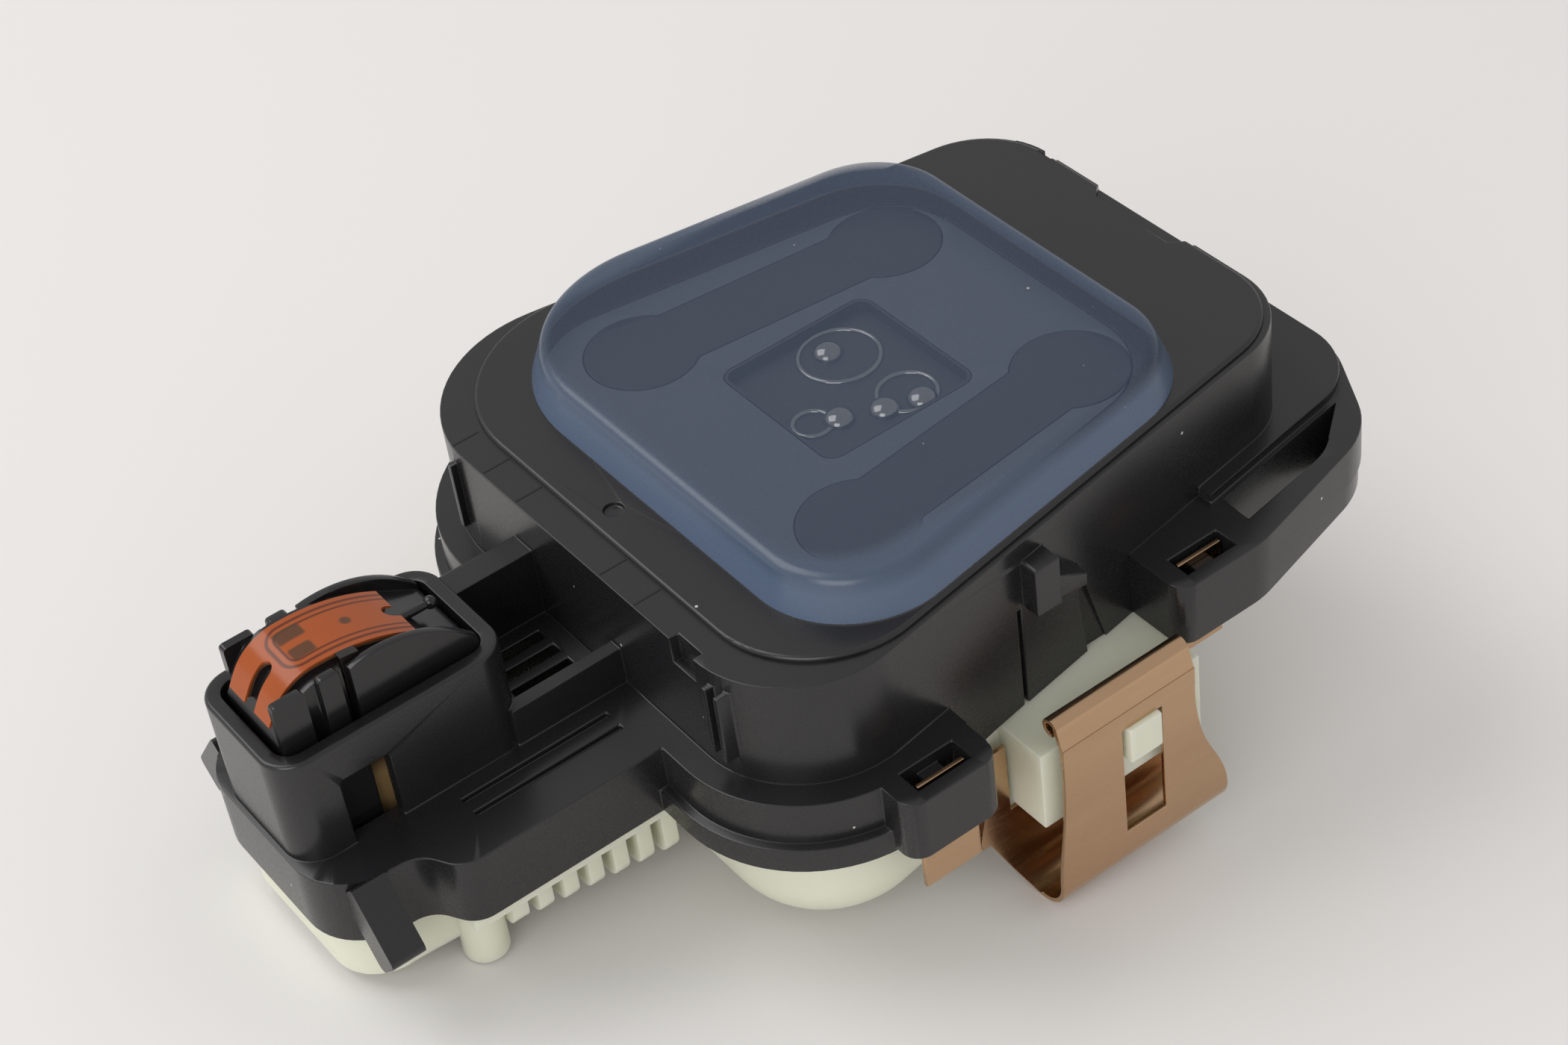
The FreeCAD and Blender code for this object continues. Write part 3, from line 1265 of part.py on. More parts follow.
make_housing()
make_coupling_pad()
make_optics()
make_board()
make_rear_cover()
make_clips()
make_carrier()
make_film()
make_spring()
for item in doc.findObjects("PartDesign::Body"):
    item.Tip.Refine = True
doc.recompute()

NODES = ["housing", "rear_cover", "coupling_pad", "window_plate", "ir_guide_front", "ir_guide_rear", "lens_cluster",
         "circuit_board", "ir_emitters", "ir_receivers", "light_sensors", "control_chip", "board_capacitors",
         "supply_regulator", "flex_socket", "connector_pins", "spring_clip_front", "spring_clip_rear",
         "sensor_carrier", "humidity_flex", "flex_cushion", "humidity_chip", "flex_tail", "carrier_spring"]

failed = [item.Label for item in doc.Objects if "Invalid" in item.State or "Error" in item.State]
if failed:
    raise RuntimeError("these did not build: " + ", ".join(failed))
pieces = [doc.getObjectsByLabel(label)[0] for label in NODES]
for piece in pieces:
    if piece.Shape.isNull() or not piece.Shape.isValid():
        raise RuntimeError(piece.Label + " has no valid shape")
    print(piece.Label, "volume", round(piece.Shape.Volume, 2), "solids", len(piece.Shape.Solids))
os.makedirs("parts", exist_ok=True)
for piece in pieces:
    piece.Shape.exportStep("parts/%s.step" % piece.Label)
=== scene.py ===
# %% [markdown]
# # A windscreen sensor for rain, light and condensation
#
# The sensor lies on its milky back cover with its glass side up. A black moulded tower carries a soft,
# see-through pad over the optics, and a nose beside it holds a small sprung plunger with an amber film.
# This lesson dresses the measured solids: it rounds their edges, gives every piece a finish, and sets up
# the table, the light and the camera of the photograph.

# %% Load the measured solids
import bmesh
import bpy
import json
import math
from mathutils import Matrix, Vector, bvhtree, kdtree


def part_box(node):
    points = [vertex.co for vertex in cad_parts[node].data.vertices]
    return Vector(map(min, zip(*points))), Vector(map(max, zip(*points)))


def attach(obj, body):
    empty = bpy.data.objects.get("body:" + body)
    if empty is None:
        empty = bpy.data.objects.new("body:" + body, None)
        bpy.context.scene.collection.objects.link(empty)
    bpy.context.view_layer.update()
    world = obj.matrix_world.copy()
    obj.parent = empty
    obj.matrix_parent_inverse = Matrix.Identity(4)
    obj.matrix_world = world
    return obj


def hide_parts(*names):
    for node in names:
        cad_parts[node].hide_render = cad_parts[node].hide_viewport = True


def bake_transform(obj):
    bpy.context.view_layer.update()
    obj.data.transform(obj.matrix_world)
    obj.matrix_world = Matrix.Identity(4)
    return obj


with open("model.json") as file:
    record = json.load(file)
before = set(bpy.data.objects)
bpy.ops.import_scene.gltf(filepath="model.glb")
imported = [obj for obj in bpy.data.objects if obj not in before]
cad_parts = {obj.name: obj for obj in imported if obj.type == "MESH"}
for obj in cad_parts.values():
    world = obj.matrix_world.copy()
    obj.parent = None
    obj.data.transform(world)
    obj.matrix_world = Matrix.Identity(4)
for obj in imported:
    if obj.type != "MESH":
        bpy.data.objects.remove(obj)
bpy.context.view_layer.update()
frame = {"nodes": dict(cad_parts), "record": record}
MM = 0.001
BODY = {node: body
        for body, nodes in frame["record"]["behaviour"]["bodies"].items()
        for node in nodes}

# %% [markdown]
# ## Camera
#
# A camera can be guessed by eye, or worked out from points whose size is known. The second way was used
# here: the three directions below are the picture's right, down and depth, seen from the sensor itself,
# so every edge falls where the photograph has it.

# %% Camera
RIGHT = Vector((0.79320, -0.59894, -0.11004))
DOWN = Vector((-0.46609, -0.48083, -0.74267))
DEPTH = Vector((0.39190, 0.64038, -0.66055))
EYE = Vector((-92.62, -140.44, 132.64)) * MM
FOCAL_PIXELS, PICTURE_WIDTH, SENSOR_WIDTH = 4247.2, 2100, 36.0
NEAREST = 0.01

camera_data = bpy.data.cameras.new("camera")
camera_data.sensor_width = SENSOR_WIDTH
camera_data.lens = FOCAL_PIXELS / PICTURE_WIDTH * SENSOR_WIDTH
camera_data.clip_start = NEAREST
camera = bpy.data.objects.new("camera", camera_data)
turn = Matrix((RIGHT, -DOWN, -DEPTH)).transposed().to_4x4()
camera.matrix_world = Matrix.Translation(EYE) @ turn
bpy.context.scene.collection.objects.link(camera)
bpy.context.scene.camera = camera
print("lens in mm:", round(camera_data.lens, 1), "distance in mm:", round(EYE.length / MM))

# %% [markdown]
# ## Shared surface effects
#
# Real mouldings are never one flat colour. Three effects come back on most pieces: a fine grain from the
# tool, a slow drift of tone, and a few specks of dust. One node group, built once, puts them out as plain
# masks and heights, so every finish can place them with its own values.

# %% Helpers for node trees
def add_node(tree, kind, values=None, **settings):
    """A node with its settings and the values of its sockets."""
    node = tree.nodes.new(kind)
    for name, value in settings.items():
        setattr(node, name, value)
    for socket, value in (values or {}).items():
        node.inputs[socket].default_value = value
    return node


def new_group(name, inputs, outputs):
    """An empty node group with a place as first input, and named numbers as inputs and outputs."""
    tree = bpy.data.node_groups.new(name, "ShaderNodeTree")
    tree.interface.new_socket("Place", in_out="INPUT", socket_type="NodeSocketVector")
    for label, value in inputs.items():
        socket = tree.interface.new_socket(label, in_out="INPUT", socket_type="NodeSocketFloat")
        socket.default_value = value
    for label in outputs:
        tree.interface.new_socket(label, in_out="OUTPUT", socket_type="NodeSocketFloat")
    return tree, tree.nodes.new("NodeGroupInput"), tree.nodes.new("NodeGroupOutput")


def math_node(tree, operation, first, second=None):
    """A number worked out from sockets or plain numbers; returns its output socket."""
    node = add_node(tree, "ShaderNodeMath", operation=operation)
    for index, value in enumerate((first, second)):
        if isinstance(value, (int, float)):
            node.inputs[index].default_value = value
        elif value is not None:
            tree.links.new(value, node.inputs[index])
    return node.outputs[0]


# %% Grain, drift and dust
GRAIN_SIZE, DRIFT_SIZE, DUST_SPACING = 0.25, 9.0, 1.4
GRAIN_DETAIL, DRIFT_DETAIL, NOISE_ROUGHNESS = 3.0, 4.0, 0.6
SPECK_REACH = 0.09


def make_surface_group():
    """Fine grain, slow drift and dust specks, each from 0 to 1, at the sizes given in millimetres."""
    inputs = {"Grain mm": GRAIN_SIZE, "Drift mm": DRIFT_SIZE, "Dust mm": DUST_SPACING, "Dust share": 0.0}
    tree, given, result = new_group("moulded surface", inputs, ("Grain", "Drift", "Dust"))
    for label, detail in (("Grain", GRAIN_DETAIL), ("Drift", DRIFT_DETAIL)):
        noise = add_node(tree, "ShaderNodeTexNoise", {"Detail": detail, "Roughness": NOISE_ROUGHNESS})
        scale = math_node(tree, "DIVIDE", 1 / MM, given.outputs[label + " mm"])
        tree.links.new(given.outputs["Place"], noise.inputs["Vector"])
        tree.links.new(scale, noise.inputs["Scale"])
        tree.links.new(noise.outputs[0], result.inputs[label])
    specks = add_node(tree, "ShaderNodeTexVoronoi")
    tree.links.new(given.outputs["Place"], specks.inputs["Vector"])
    tree.links.new(math_node(tree, "DIVIDE", 1 / MM, given.outputs["Dust mm"]), specks.inputs["Scale"])
    lottery = add_node(tree, "ShaderNodeSeparateColor")
    tree.links.new(specks.outputs["Color"], lottery.inputs[0])
    chosen = math_node(tree, "LESS_THAN", lottery.outputs[0], given.outputs["Dust share"])
    reach = math_node(tree, "MULTIPLY", lottery.outputs[1], SPECK_REACH)
    small = math_node(tree, "LESS_THAN", specks.outputs["Distance"], reach)
    tree.links.new(math_node(tree, "MULTIPLY", chosen, small), result.inputs["Dust"])
    return tree


SURFACE = make_surface_group()
print("group:", SURFACE.name, [item.name for item in SURFACE.interface.items_tree])

# %% Mixing and mapping
# The sockets of a mix node that are for colours, by their places in its lists.
MIX_SHARE, MIX_FIRST, MIX_SECOND, MIX_RESULT = 0, 6, 7, 2


def mix_colour(tree, share, first, second):
    """Blend two colours, each a socket or a plain colour, by a socket; returns the output socket."""
    node = add_node(tree, "ShaderNodeMix", data_type="RGBA")
    tree.links.new(share, node.inputs[MIX_SHARE])
    for index, value in ((MIX_FIRST, first), (MIX_SECOND, second)):
        if hasattr(value, "is_output"):
            tree.links.new(value, node.inputs[index])
        else:
            node.inputs[index].default_value = (*value, 1.0)
    return node.outputs[MIX_RESULT]


def map_range(tree, value, low, high, start=0.0, end=1.0):
    """Spread a value between start and end over a range from low to high; returns the output socket."""
    limits = {"From Min": start, "From Max": end, "To Min": low, "To Max": high}
    node = add_node(tree, "ShaderNodeMapRange", limits)
    tree.links.new(value, node.inputs["Value"])
    return node.outputs[0]


# %% Shapes drawn by distance
# A line is full up to the first share of its width and has faded at the second.
LINE_CORE, LINE_END = 0.5, 1.3


def box_distance(tree, axes, middle, half, rounding):
    """Distance in millimetres outside a rounded rectangle, negative inside; returns the output socket."""
    spans = []
    for axis, centre, reach in zip(axes, middle, half):
        away = math_node(tree, "ABSOLUTE", math_node(tree, "SUBTRACT", axis, centre))
        spans.append(math_node(tree, "MAXIMUM", math_node(tree, "SUBTRACT", away, reach - rounding), 0.0))
    squares = [math_node(tree, "POWER", span, 2.0) for span in spans]
    corner = math_node(tree, "SQRT", math_node(tree, "ADD", squares[0], squares[1]))
    return math_node(tree, "SUBTRACT", corner, rounding)


def soft_line(tree, distance, offset, width):
    """A line with soft sides along an outline, at an offset from it; returns a mask."""
    away = math_node(tree, "ABSOLUTE", math_node(tree, "SUBTRACT", distance, offset))
    return map_range(tree, away, 1.0, 0.0, width * LINE_CORE, width * LINE_END)


# %% A finish from the shared effects
DUST_COLOUR = (0.55, 0.53, 0.5)


class Finish:
    """A material whose tone drifts between two colours, with grain in its gloss and dust on top."""

    def __init__(self, name, colour, drift, roughness, bump, grain=GRAIN_SIZE, dust=0.0,
                 stretch=(1, 1, 1), drift_size=DRIFT_SIZE, shader=None):
        self.material = bpy.data.materials.new(name)
        self.material.use_nodes = True
        tree = self.tree = self.material.node_tree
        self.principled = tree.nodes["Principled BSDF"]
        self.place = add_node(tree, "ShaderNodeTexCoord").outputs["Object"]
        mapping = add_node(tree, "ShaderNodeMapping", {"Scale": stretch})
        tree.links.new(self.place, mapping.inputs["Vector"])
        amounts = {"Grain mm": grain, "Drift mm": drift_size, "Dust share": dust}
        effects = add_node(tree, "ShaderNodeGroup", amounts, node_tree=SURFACE)
        tree.links.new(mapping.outputs[0], effects.inputs["Place"])
        tone = mix_colour(tree, effects.outputs["Drift"], colour, drift)
        if dust:
            tone = mix_colour(tree, effects.outputs["Dust"], tone, DUST_COLOUR)
        self.set_tone(tone)
        gloss = map_range(tree, effects.outputs["Grain"], *roughness)
        tree.links.new(gloss, self.principled.inputs["Roughness"])
        height = add_node(tree, "ShaderNodeBump", {"Strength": 1.0, "Distance": bump * MM})
        tree.links.new(effects.outputs["Grain"], height.inputs["Height"])
        tree.links.new(height.outputs[0], self.principled.inputs["Normal"])
        for socket, value in (shader or {}).items():
            self.principled.inputs[socket].default_value = value

    def set_tone(self, tone):
        """Use a colour socket as the base colour, for this finish or one that adds more to it."""
        self.tone = tone
        self.tree.links.new(tone, self.principled.inputs["Base Color"])

    def axes(self):
        """Sockets of the place on the piece in millimetres, one for each axis."""
        parts = add_node(self.tree, "ShaderNodeSeparateXYZ")
        self.tree.links.new(self.place, parts.inputs[0])
        return [math_node(self.tree, "DIVIDE", parts.outputs[index], MM) for index in range(3)]


# %% [markdown]
# ## Rounded edges
#
# The solids have knife edges, but no moulding does: a real edge has a small round that catches the light
# as a thin line. A modifier could round all edges by one angle, but where faces are narrower than the
# round it throws up spikes. So a copy of each solid is welded and its true edges are bevelled as a trial:
# edges near any face that strays from the solid then stay sharp. The normals are weighted by face area,
# which keeps the flat faces flat beside the narrow rounds.

# %% Find the edges that can be rounded
# Edges that turn by more than this angle, in degrees, are rounded, each with this many faces across.
ROUND_ANGLE, ROUND_STEPS = 30.0, 2
# A face strays when it leaves the solid by this share of the radius, or when the cosine between its
# normal and the solid's is below this limit. Edges within this many radii of it then stay sharp.
STRAY_SHARE, TURNED_OVER, STRAY_REACH = 0.4, -0.3, 2.0
TRIALS = 8


def bevel_edges(shape, edges, rounding, steps=ROUND_STEPS):
    """Round some edges of a bmesh by a radius in millimetres."""
    bmesh.ops.bevel(shape, geom=edges, offset=rounding * MM, offset_type="OFFSET", segments=steps,
                    profile=0.5, affect="EDGES", clamp_overlap=False, material=-1)


def stray_places(solid, trial, reach):
    """Corners of a trial's faces that leave the solid by more than reach, or are turned over."""
    places = []
    for face in trial.faces:
        _, normal, _, distance = solid.find_nearest(face.calc_center_median())
        if distance > reach or face.normal.dot(normal) < TURNED_OVER:
            places.extend(vertex.co.copy() for vertex in face.verts)
    return places


def sound_edges(shape, rounding):
    """The sharp edges of a bmesh that can be rounded without leaving the solid, as a list of indices."""
    solid = bvhtree.BVHTree.FromBMesh(shape)
    sharp = math.radians(ROUND_ANGLE)
    chosen = [edge.index for edge in shape.edges if edge.calc_face_angle(0.0) > sharp]
    clear = STRAY_REACH * rounding * MM
    for _ in range(TRIALS):
        trial = shape.copy()
        trial.edges.ensure_lookup_table()
        bevel_edges(trial, [trial.edges[index] for index in chosen], rounding)
        trial.normal_update()
        stray = stray_places(solid, trial, STRAY_SHARE * rounding * MM)
        trial.free()
        if not stray:
            break
        tree = kdtree.KDTree(len(stray))
        for index, place in enumerate(stray):
            tree.insert(place, index)
        tree.balance()
        chosen = [index for index in chosen
                  if all(tree.find(end.co)[2] > clear for end in shape.edges[index].verts)]
    return chosen


# %% Round the edges of a solid
WELD = 0.002
SHARP_ANGLE = 40.0


def dressed(node, rounding, lift=None, bend=None):
    """A welded copy of a solid with rounded edges.

    lift may move its vertices, and bend holds the two points that new_piece asks for.
    """
    mesh = bpy.data.meshes.new(node + "_dressed")
    shape = bmesh.new()
    shape.from_mesh(frame["nodes"][node].data)
    bmesh.ops.remove_doubles(shape, verts=shape.verts, dist=WELD * MM)
    shape.edges.index_update()
    shape.edges.ensure_lookup_table()
    rounded = sound_edges(shape, rounding) if rounding else []
    if rounded:
        bevel_edges(shape, [shape.edges[index] for index in rounded], rounding)
        wide = [face for face in shape.faces if len(face.verts) > 4]
        bmesh.ops.triangulate(shape, faces=wide, ngon_method="EAR_CLIP")
    if lift:
        lift(shape)
    for face in shape.faces:
        face.smooth = True
    shape.to_mesh(mesh)
    shape.free()
    if "custom_normal" in mesh.attributes:
        mesh.attributes.remove(mesh.attributes["custom_normal"])
    mesh.set_sharp_from_angle(angle=math.radians(SHARP_ANGLE))
    piece = new_piece(mesh, BODY[node], bend)
    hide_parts(node)
    print(node, "edges rounded:", len(rounded), "faces:", len(mesh.polygons))
    return piece


def new_piece(mesh, body, bend=None):
    """An object for a finished mesh that rides on a body.

    With bend, two points, its place is only baked into its mesh and it rides on no body; the points
    themselves are not used.
    """
    piece = bpy.data.objects.new(mesh.name, mesh)
    bpy.context.scene.collection.objects.link(piece)
    if bend:
        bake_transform(piece)
    else:
        flat = piece.modifiers.new("flat faces", "WEIGHTED_NORMAL")
        flat.mode = "FACE_AREA"
        flat.keep_sharp = True
        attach(piece, body)
    return piece


def paint(piece, finish):
    """Give a piece one finish."""
    piece.data.materials.clear()
    piece.data.materials.append(finish.material)


# %% [markdown]
# ## Black plastic
#
# The housing and the plunger are moulded in black nylon. It is not deep black: the tool's fine spark grain
# scatters some light, so it reads as a warm charcoal with a satin gloss and a little dust.

# %% Black housing and plunger
black = Finish("black moulded plastic", colour=(0.0115, 0.011, 0.0122), drift=(0.016, 0.015, 0.0165),
               roughness=(0.22, 0.32), bump=0.0015, grain=0.12, dust=0.1)
paint(dressed("housing", rounding=0.12), black)
carrier_black = Finish("black plunger plastic", colour=(0.008, 0.0075, 0.0085),
                       drift=(0.012, 0.011, 0.012), roughness=(0.16, 0.26), bump=0.001, grain=0.12,
                       dust=0.04)
paint(dressed("sensor_carrier", rounding=0.1), carrier_black)

# %% [markdown]
# ## Seams of the strip and the plunger's pin
#
# The low strip along the nose side of the tower is moulded by separate inserts of the tool, which leave
# five fine seams. A groove this fine would be lost in the solid, so each seam is a dark inlay a few
# hundredths of a millimetre proud; its darkness is painted shade, the shadow that would fall in the groove.
# The plunger also carries a thin pin, a rod with a ball at its end.

# %% Blocks and finished meshes
def add_block(shape, low, high):
    """Add a block between two corners in millimetres."""
    made = bmesh.ops.create_cube(shape, size=1.0)["verts"]
    low, high = Vector(low) * MM, Vector(high) * MM
    bmesh.ops.scale(shape, vec=high - low, verts=made)
    bmesh.ops.translate(shape, vec=(low + high) / 2, verts=made)


def finished_mesh(name, shape, smooth=True):
    """Turn a bmesh into a mesh with outward normals."""
    mesh = bpy.data.meshes.new(name)
    bmesh.ops.recalc_face_normals(shape, faces=shape.faces)
    for face in shape.faces:
        face.smooth = smooth
    shape.to_mesh(mesh)
    shape.free()
    if smooth:
        mesh.set_sharp_from_angle(angle=math.radians(SHARP_ANGLE))
    return mesh


# %% Seams
SEAM_PLACES = (13.6, 9.7, 5.7, -4.2, -8.1)
SEAM_WIDTH, SEAM_RISE, SEAM_DEPTH = 0.14, 0.03, 0.2
STRIP_LOW, STRIP_HIGH, STRIP_LEVEL = -23.6, -21.5, -3.4

shape = bmesh.new()
for place in SEAM_PLACES:
    add_block(shape, (STRIP_LOW, place - SEAM_WIDTH / 2, STRIP_LEVEL - SEAM_DEPTH),
              (STRIP_HIGH, place + SEAM_WIDTH / 2, STRIP_LEVEL + SEAM_RISE))
seams = new_piece(finished_mesh("strip_seams", shape, smooth=False), BODY["housing"])
# Painted shade: the seams' near-black colour stands in for the shadow inside each fine groove.
seam_groove_shade = Finish("seam groove painted shade", colour=(0.004, 0.004, 0.004), drift=(0.007, 0.006, 0.006),
                    roughness=(0.5, 0.7), bump=0.002)
paint(seams, seam_groove_shade)
print("seams:", len(SEAM_PLACES))

# %% Pin
PIN_ROOT, PIN_TIP = Vector((-36.8, 0.0, -2.1)), Vector((-33.7, 0.0, -2.1))
PIN_RADIUS, BALL_RADIUS = 0.28, 0.46
PIN_SIDES, BALL_STEPS = 20, 12

shape = bmesh.new()
along = PIN_TIP - PIN_ROOT
lean = along.to_track_quat("Z", "Y").to_matrix().to_4x4()
middle = Matrix.Translation((PIN_ROOT + PIN_TIP) / 2 * MM)
bmesh.ops.create_cone(shape, cap_ends=True, segments=PIN_SIDES, radius1=PIN_RADIUS * MM,
                      radius2=PIN_RADIUS * MM, depth=along.length * MM, matrix=middle @ lean)
bmesh.ops.create_uvsphere(shape, u_segments=PIN_SIDES, v_segments=BALL_STEPS, radius=BALL_RADIUS * MM,
                          matrix=Matrix.Translation(PIN_TIP * MM))
pin = new_piece(finished_mesh("plunger_pin", shape), BODY["sensor_carrier"])
paint(pin, carrier_black)
print("pin length in mm:", round(along.length, 1))

# %% [markdown]
# ## Milky back cover
#
# The cover is undyed nylon, so light enters it and comes back out a little greener. Subsurface scattering
# gives that depth; its radius is about two millimetres, because the walls are thin.

# %% Back cover
MILKY_DEPTH = {
    "Subsurface Weight": 0.6,
    "Subsurface Radius": (1.0, 1.0, 0.7),
    "Subsurface Scale": 2.0 * MM,
}
milky = Finish("milky nylon", colour=(0.70, 0.715, 0.575), drift=(0.76, 0.77, 0.64),
               roughness=(0.34, 0.5), bump=0.01, grain=0.5, shader=MILKY_DEPTH)
paint(dressed("rear_cover", rounding=0.15), milky)

# %% [markdown]
# ## Coupling pad and the optics below it
#
# The pad is a clear silicone gel with a blue-grey haze. Below it lies a dark plate with two dumbbell-shaped
# light guides, which pass infrared only and look black, and a clear window with round lenses. Real
# refraction would leave the optics unlit, so the pad is a haze that covers a part of what lies below. Its
# flat top is thin haze over the plate and nearly closed past it. Its sides are nearly closed from outside
# and closed from inside, as the light is turned back there, and lamps shine through all of it. The sides
# are painted a lighter blue that fades out near the top: a painted sheen.

# %% Underside of the pad
PAD_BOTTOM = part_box("coupling_pad")[0][2]
PAD_LIFT = 0.03


def lift_bottom(shape):
    """Raise the pad's underside a little, so that it doesn't lie in the same plane as the plate."""
    low = [vertex for vertex in shape.verts if vertex.co.z < PAD_BOTTOM + PAD_LIFT * MM / 2]
    bmesh.ops.translate(shape, vec=(0, 0, PAD_LIFT * MM), verts=low)


# %% Pad
# The first colour is a painted sheen, the lighter blue of the pad's sides.
SIDE_SHEEN_COLOUR, EDGE_COLOUR = (0.085, 0.122, 0.195), (0.050, 0.074, 0.118)
TOP_HAZE, SIDE_HAZE = 0.58, 0.95
SIDE_LEVELS = (-1.3, -0.15)
UNDERSIDE_LEVELS = (PAD_BOTTOM / MM + 0.05, PAD_BOTTOM / MM + 0.1)
PLATE_MIDDLE, PLATE_HALF, PLATE_CORNER = (0.0, -0.3), (15.8, 17.6), 6.0
PLATE_FADE = (-0.6, 0.6)

pad_finish = Finish("coupling silicone", colour=(0.036, 0.056, 0.098), drift=(0.042, 0.063, 0.107),
                    roughness=(0.24, 0.32), bump=0.002, grain=0.3, dust=0.06)
tree = pad_finish.tree
*across, level = pad_finish.axes()
side = map_range(tree, level, 1.0, 0.0, *SIDE_LEVELS)
above = map_range(tree, level, 0.0, 1.0, *UNDERSIDE_LEVELS)
from_plate = box_distance(tree, across, PLATE_MIDDLE, PLATE_HALF, PLATE_CORNER)
past_plate = map_range(tree, from_plate, 0.0, 1.0, *PLATE_FADE)
pad_finish.set_tone(mix_colour(tree, past_plate, pad_finish.tone, EDGE_COLOUR))
# Painted sheen: the sides turn to the lighter side colour, fading out near the top.
pad_finish.set_tone(mix_colour(tree, side, pad_finish.tone, SIDE_SHEEN_COLOUR))
inside = add_node(tree, "ShaderNodeNewGeometry").outputs["Backfacing"]
outside = math_node(tree, "SUBTRACT", 1.0, inside)
closed = math_node(tree, "MAXIMUM", side, past_plate)
outer_haze = math_node(tree, "MULTIPLY", map_range(tree, closed, TOP_HAZE, SIDE_HAZE), outside)
haze = math_node(tree, "ADD", outer_haze, math_node(tree, "MULTIPLY", side, inside))
lit = math_node(tree, "SUBTRACT", 1.0, add_node(tree, "ShaderNodeLightPath").outputs["Is Shadow Ray"])
cover_share = math_node(tree, "MULTIPLY", math_node(tree, "MULTIPLY", haze, above), lit)
tree.links.new(cover_share, pad_finish.principled.inputs["Alpha"])
paint(dressed("coupling_pad", rounding=0.0, lift=lift_bottom), pad_finish)

# %% Plate and light guides
plate_finish = Finish("dark window plate", colour=(0.055, 0.066, 0.088), drift=(0.062, 0.073, 0.095),
                      roughness=(0.3, 0.4), bump=0.002)
paint(dressed("window_plate", rounding=0.03), plate_finish)
guide_finish = Finish("infrared light guide", colour=(0.008, 0.009, 0.013), drift=(0.011, 0.012, 0.017),
                      roughness=(0.34, 0.42), bump=0.0002)
for node in ("ir_guide_front", "ir_guide_rear"):
    paint(dressed(node, rounding=0.03), guide_finish)

# %% [markdown]
# ## Lens window
#
# Round lenses stand in a clear window, each over a light sensor. Seen from above, each shows a bright spot
# and a thin arc. The window is a block whose top face is inset and pushed down into a dark dish. The lenses
# are steep caps and thin rings on the floor of that dish, so the lamps draw the spots and arcs by
# themselves.

# %% Lens window
WINDOW_HALF, WINDOW_TOP, WINDOW_LOW = 6.3, -3.02, -4.2
WINDOW_CORNER, CORNER_STEPS = 1.1, 6
DISH_DEPTH, DISH_RIM = 0.75, 0.2

shape = bmesh.new()
add_block(shape, (-WINDOW_HALF, -WINDOW_HALF, WINDOW_LOW), (WINDOW_HALF, WINDOW_HALF, WINDOW_TOP))
upright = [edge for edge in shape.edges
           if abs(edge.verts[0].co.z - edge.verts[1].co.z) > WELD * MM]
bevel_edges(shape, upright, WINDOW_CORNER, CORNER_STEPS)
top = max(shape.faces, key=lambda face: face.calc_center_median().z)
bmesh.ops.inset_individual(shape, faces=[top], thickness=DISH_RIM * MM, depth=0.0)
bmesh.ops.inset_individual(shape, faces=[top], thickness=DISH_RIM * MM / 2, depth=-DISH_DEPTH * MM)
lens_window = new_piece(finished_mesh("lens_window", shape), BODY["lens_cluster"])
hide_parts("lens_cluster")
dish_finish = Finish("dark lens window", colour=(0.016, 0.019, 0.025), drift=(0.02, 0.023, 0.03),
                     roughness=(0.4, 0.5), bump=0.001)
paint(lens_window, dish_finish)

# %% Lens caps and rings
# Caps are given by their middles, rings by their middles and radii.
CAPS = ((1.1, 3.7), (-2.7, -2.5), (0.15, -3.85), (2.7, -4.75))
RINGS = ((1.5, 2.9, 2.9), (-4.3, -1.6, 1.35), (2.4, -3.5, 2.1))
CAP_RADIUS, CAP_SIDES, CAP_STEPS = 1.1, 40, 20
RING_WIRE, WIRE_SIDES, RING_STEPS = 0.2, 12, 64
DISH_FLOOR = WINDOW_TOP - DISH_DEPTH

shape = bmesh.new()
for x, y in CAPS:
    cap = bmesh.ops.create_uvsphere(shape, u_segments=CAP_SIDES, v_segments=CAP_STEPS,
                                    radius=1.0)["verts"]
    bmesh.ops.scale(shape, vec=Vector((CAP_RADIUS, CAP_RADIUS, DISH_DEPTH)) * MM, verts=cap)
    bmesh.ops.translate(shape, vec=Vector((x, y, DISH_FLOOR)) * MM, verts=cap)
for x, y, radius in RINGS:
    centre = Vector((x, y, DISH_FLOOR)) * MM
    start = Matrix.Translation(centre + Vector((radius * MM, 0, 0)))
    wire = bmesh.ops.create_circle(shape, cap_ends=False, segments=WIRE_SIDES, radius=RING_WIRE * MM,
                                   matrix=start @ Matrix.Rotation(math.pi / 2, 4, "X"))["verts"]
    rim = list({edge for vertex in wire for edge in vertex.link_edges})
    bmesh.ops.spin(shape, geom=wire + rim, cent=centre, axis=(0, 0, 1), angle=2 * math.pi,
                   steps=RING_STEPS, use_merge=True, use_duplicate=False)
lenses = new_piece(finished_mesh("lens_caps", shape), BODY["lens_cluster"])
lens_finish = Finish("clear lens plastic", colour=(0.02, 0.024, 0.032), drift=(0.025, 0.03, 0.038),
                     roughness=(0.06, 0.12), bump=0.0005, shader={"IOR": 2.8})
paint(lenses, lens_finish)
print("lens caps:", len(CAPS), "rings:", len(RINGS))

# %% [markdown]
# ## Bronze spring clips
#
# The clips are punched from bronze strip. Rolling leaves fine lines along the strip, so the gloss is
# stretched along one direction, and the edges keep a thin bright round.

# %% Spring clips
METAL = {"Metallic": 1.0}
bronze = Finish("rolled bronze", colour=(0.47, 0.30, 0.175), drift=(0.60, 0.40, 0.25),
                roughness=(0.16, 0.34), bump=0.003, grain=0.3, stretch=(0.2, 1.0, 1.0), drift_size=4.0,
                shader=METAL)
for node in ("spring_clip_front", "spring_clip_rear"):
    paint(dressed(node, rounding=0.06), bronze)

# %% [markdown]
# ## Amber film of the condensation sensor
#
# The film is polyimide with copper tracks inside: a double track runs round its edge, two dark pads lie at
# the nose end and a small dot near the middle. The film only bends along one direction, so the pattern is
# drawn from above, on object coordinates.

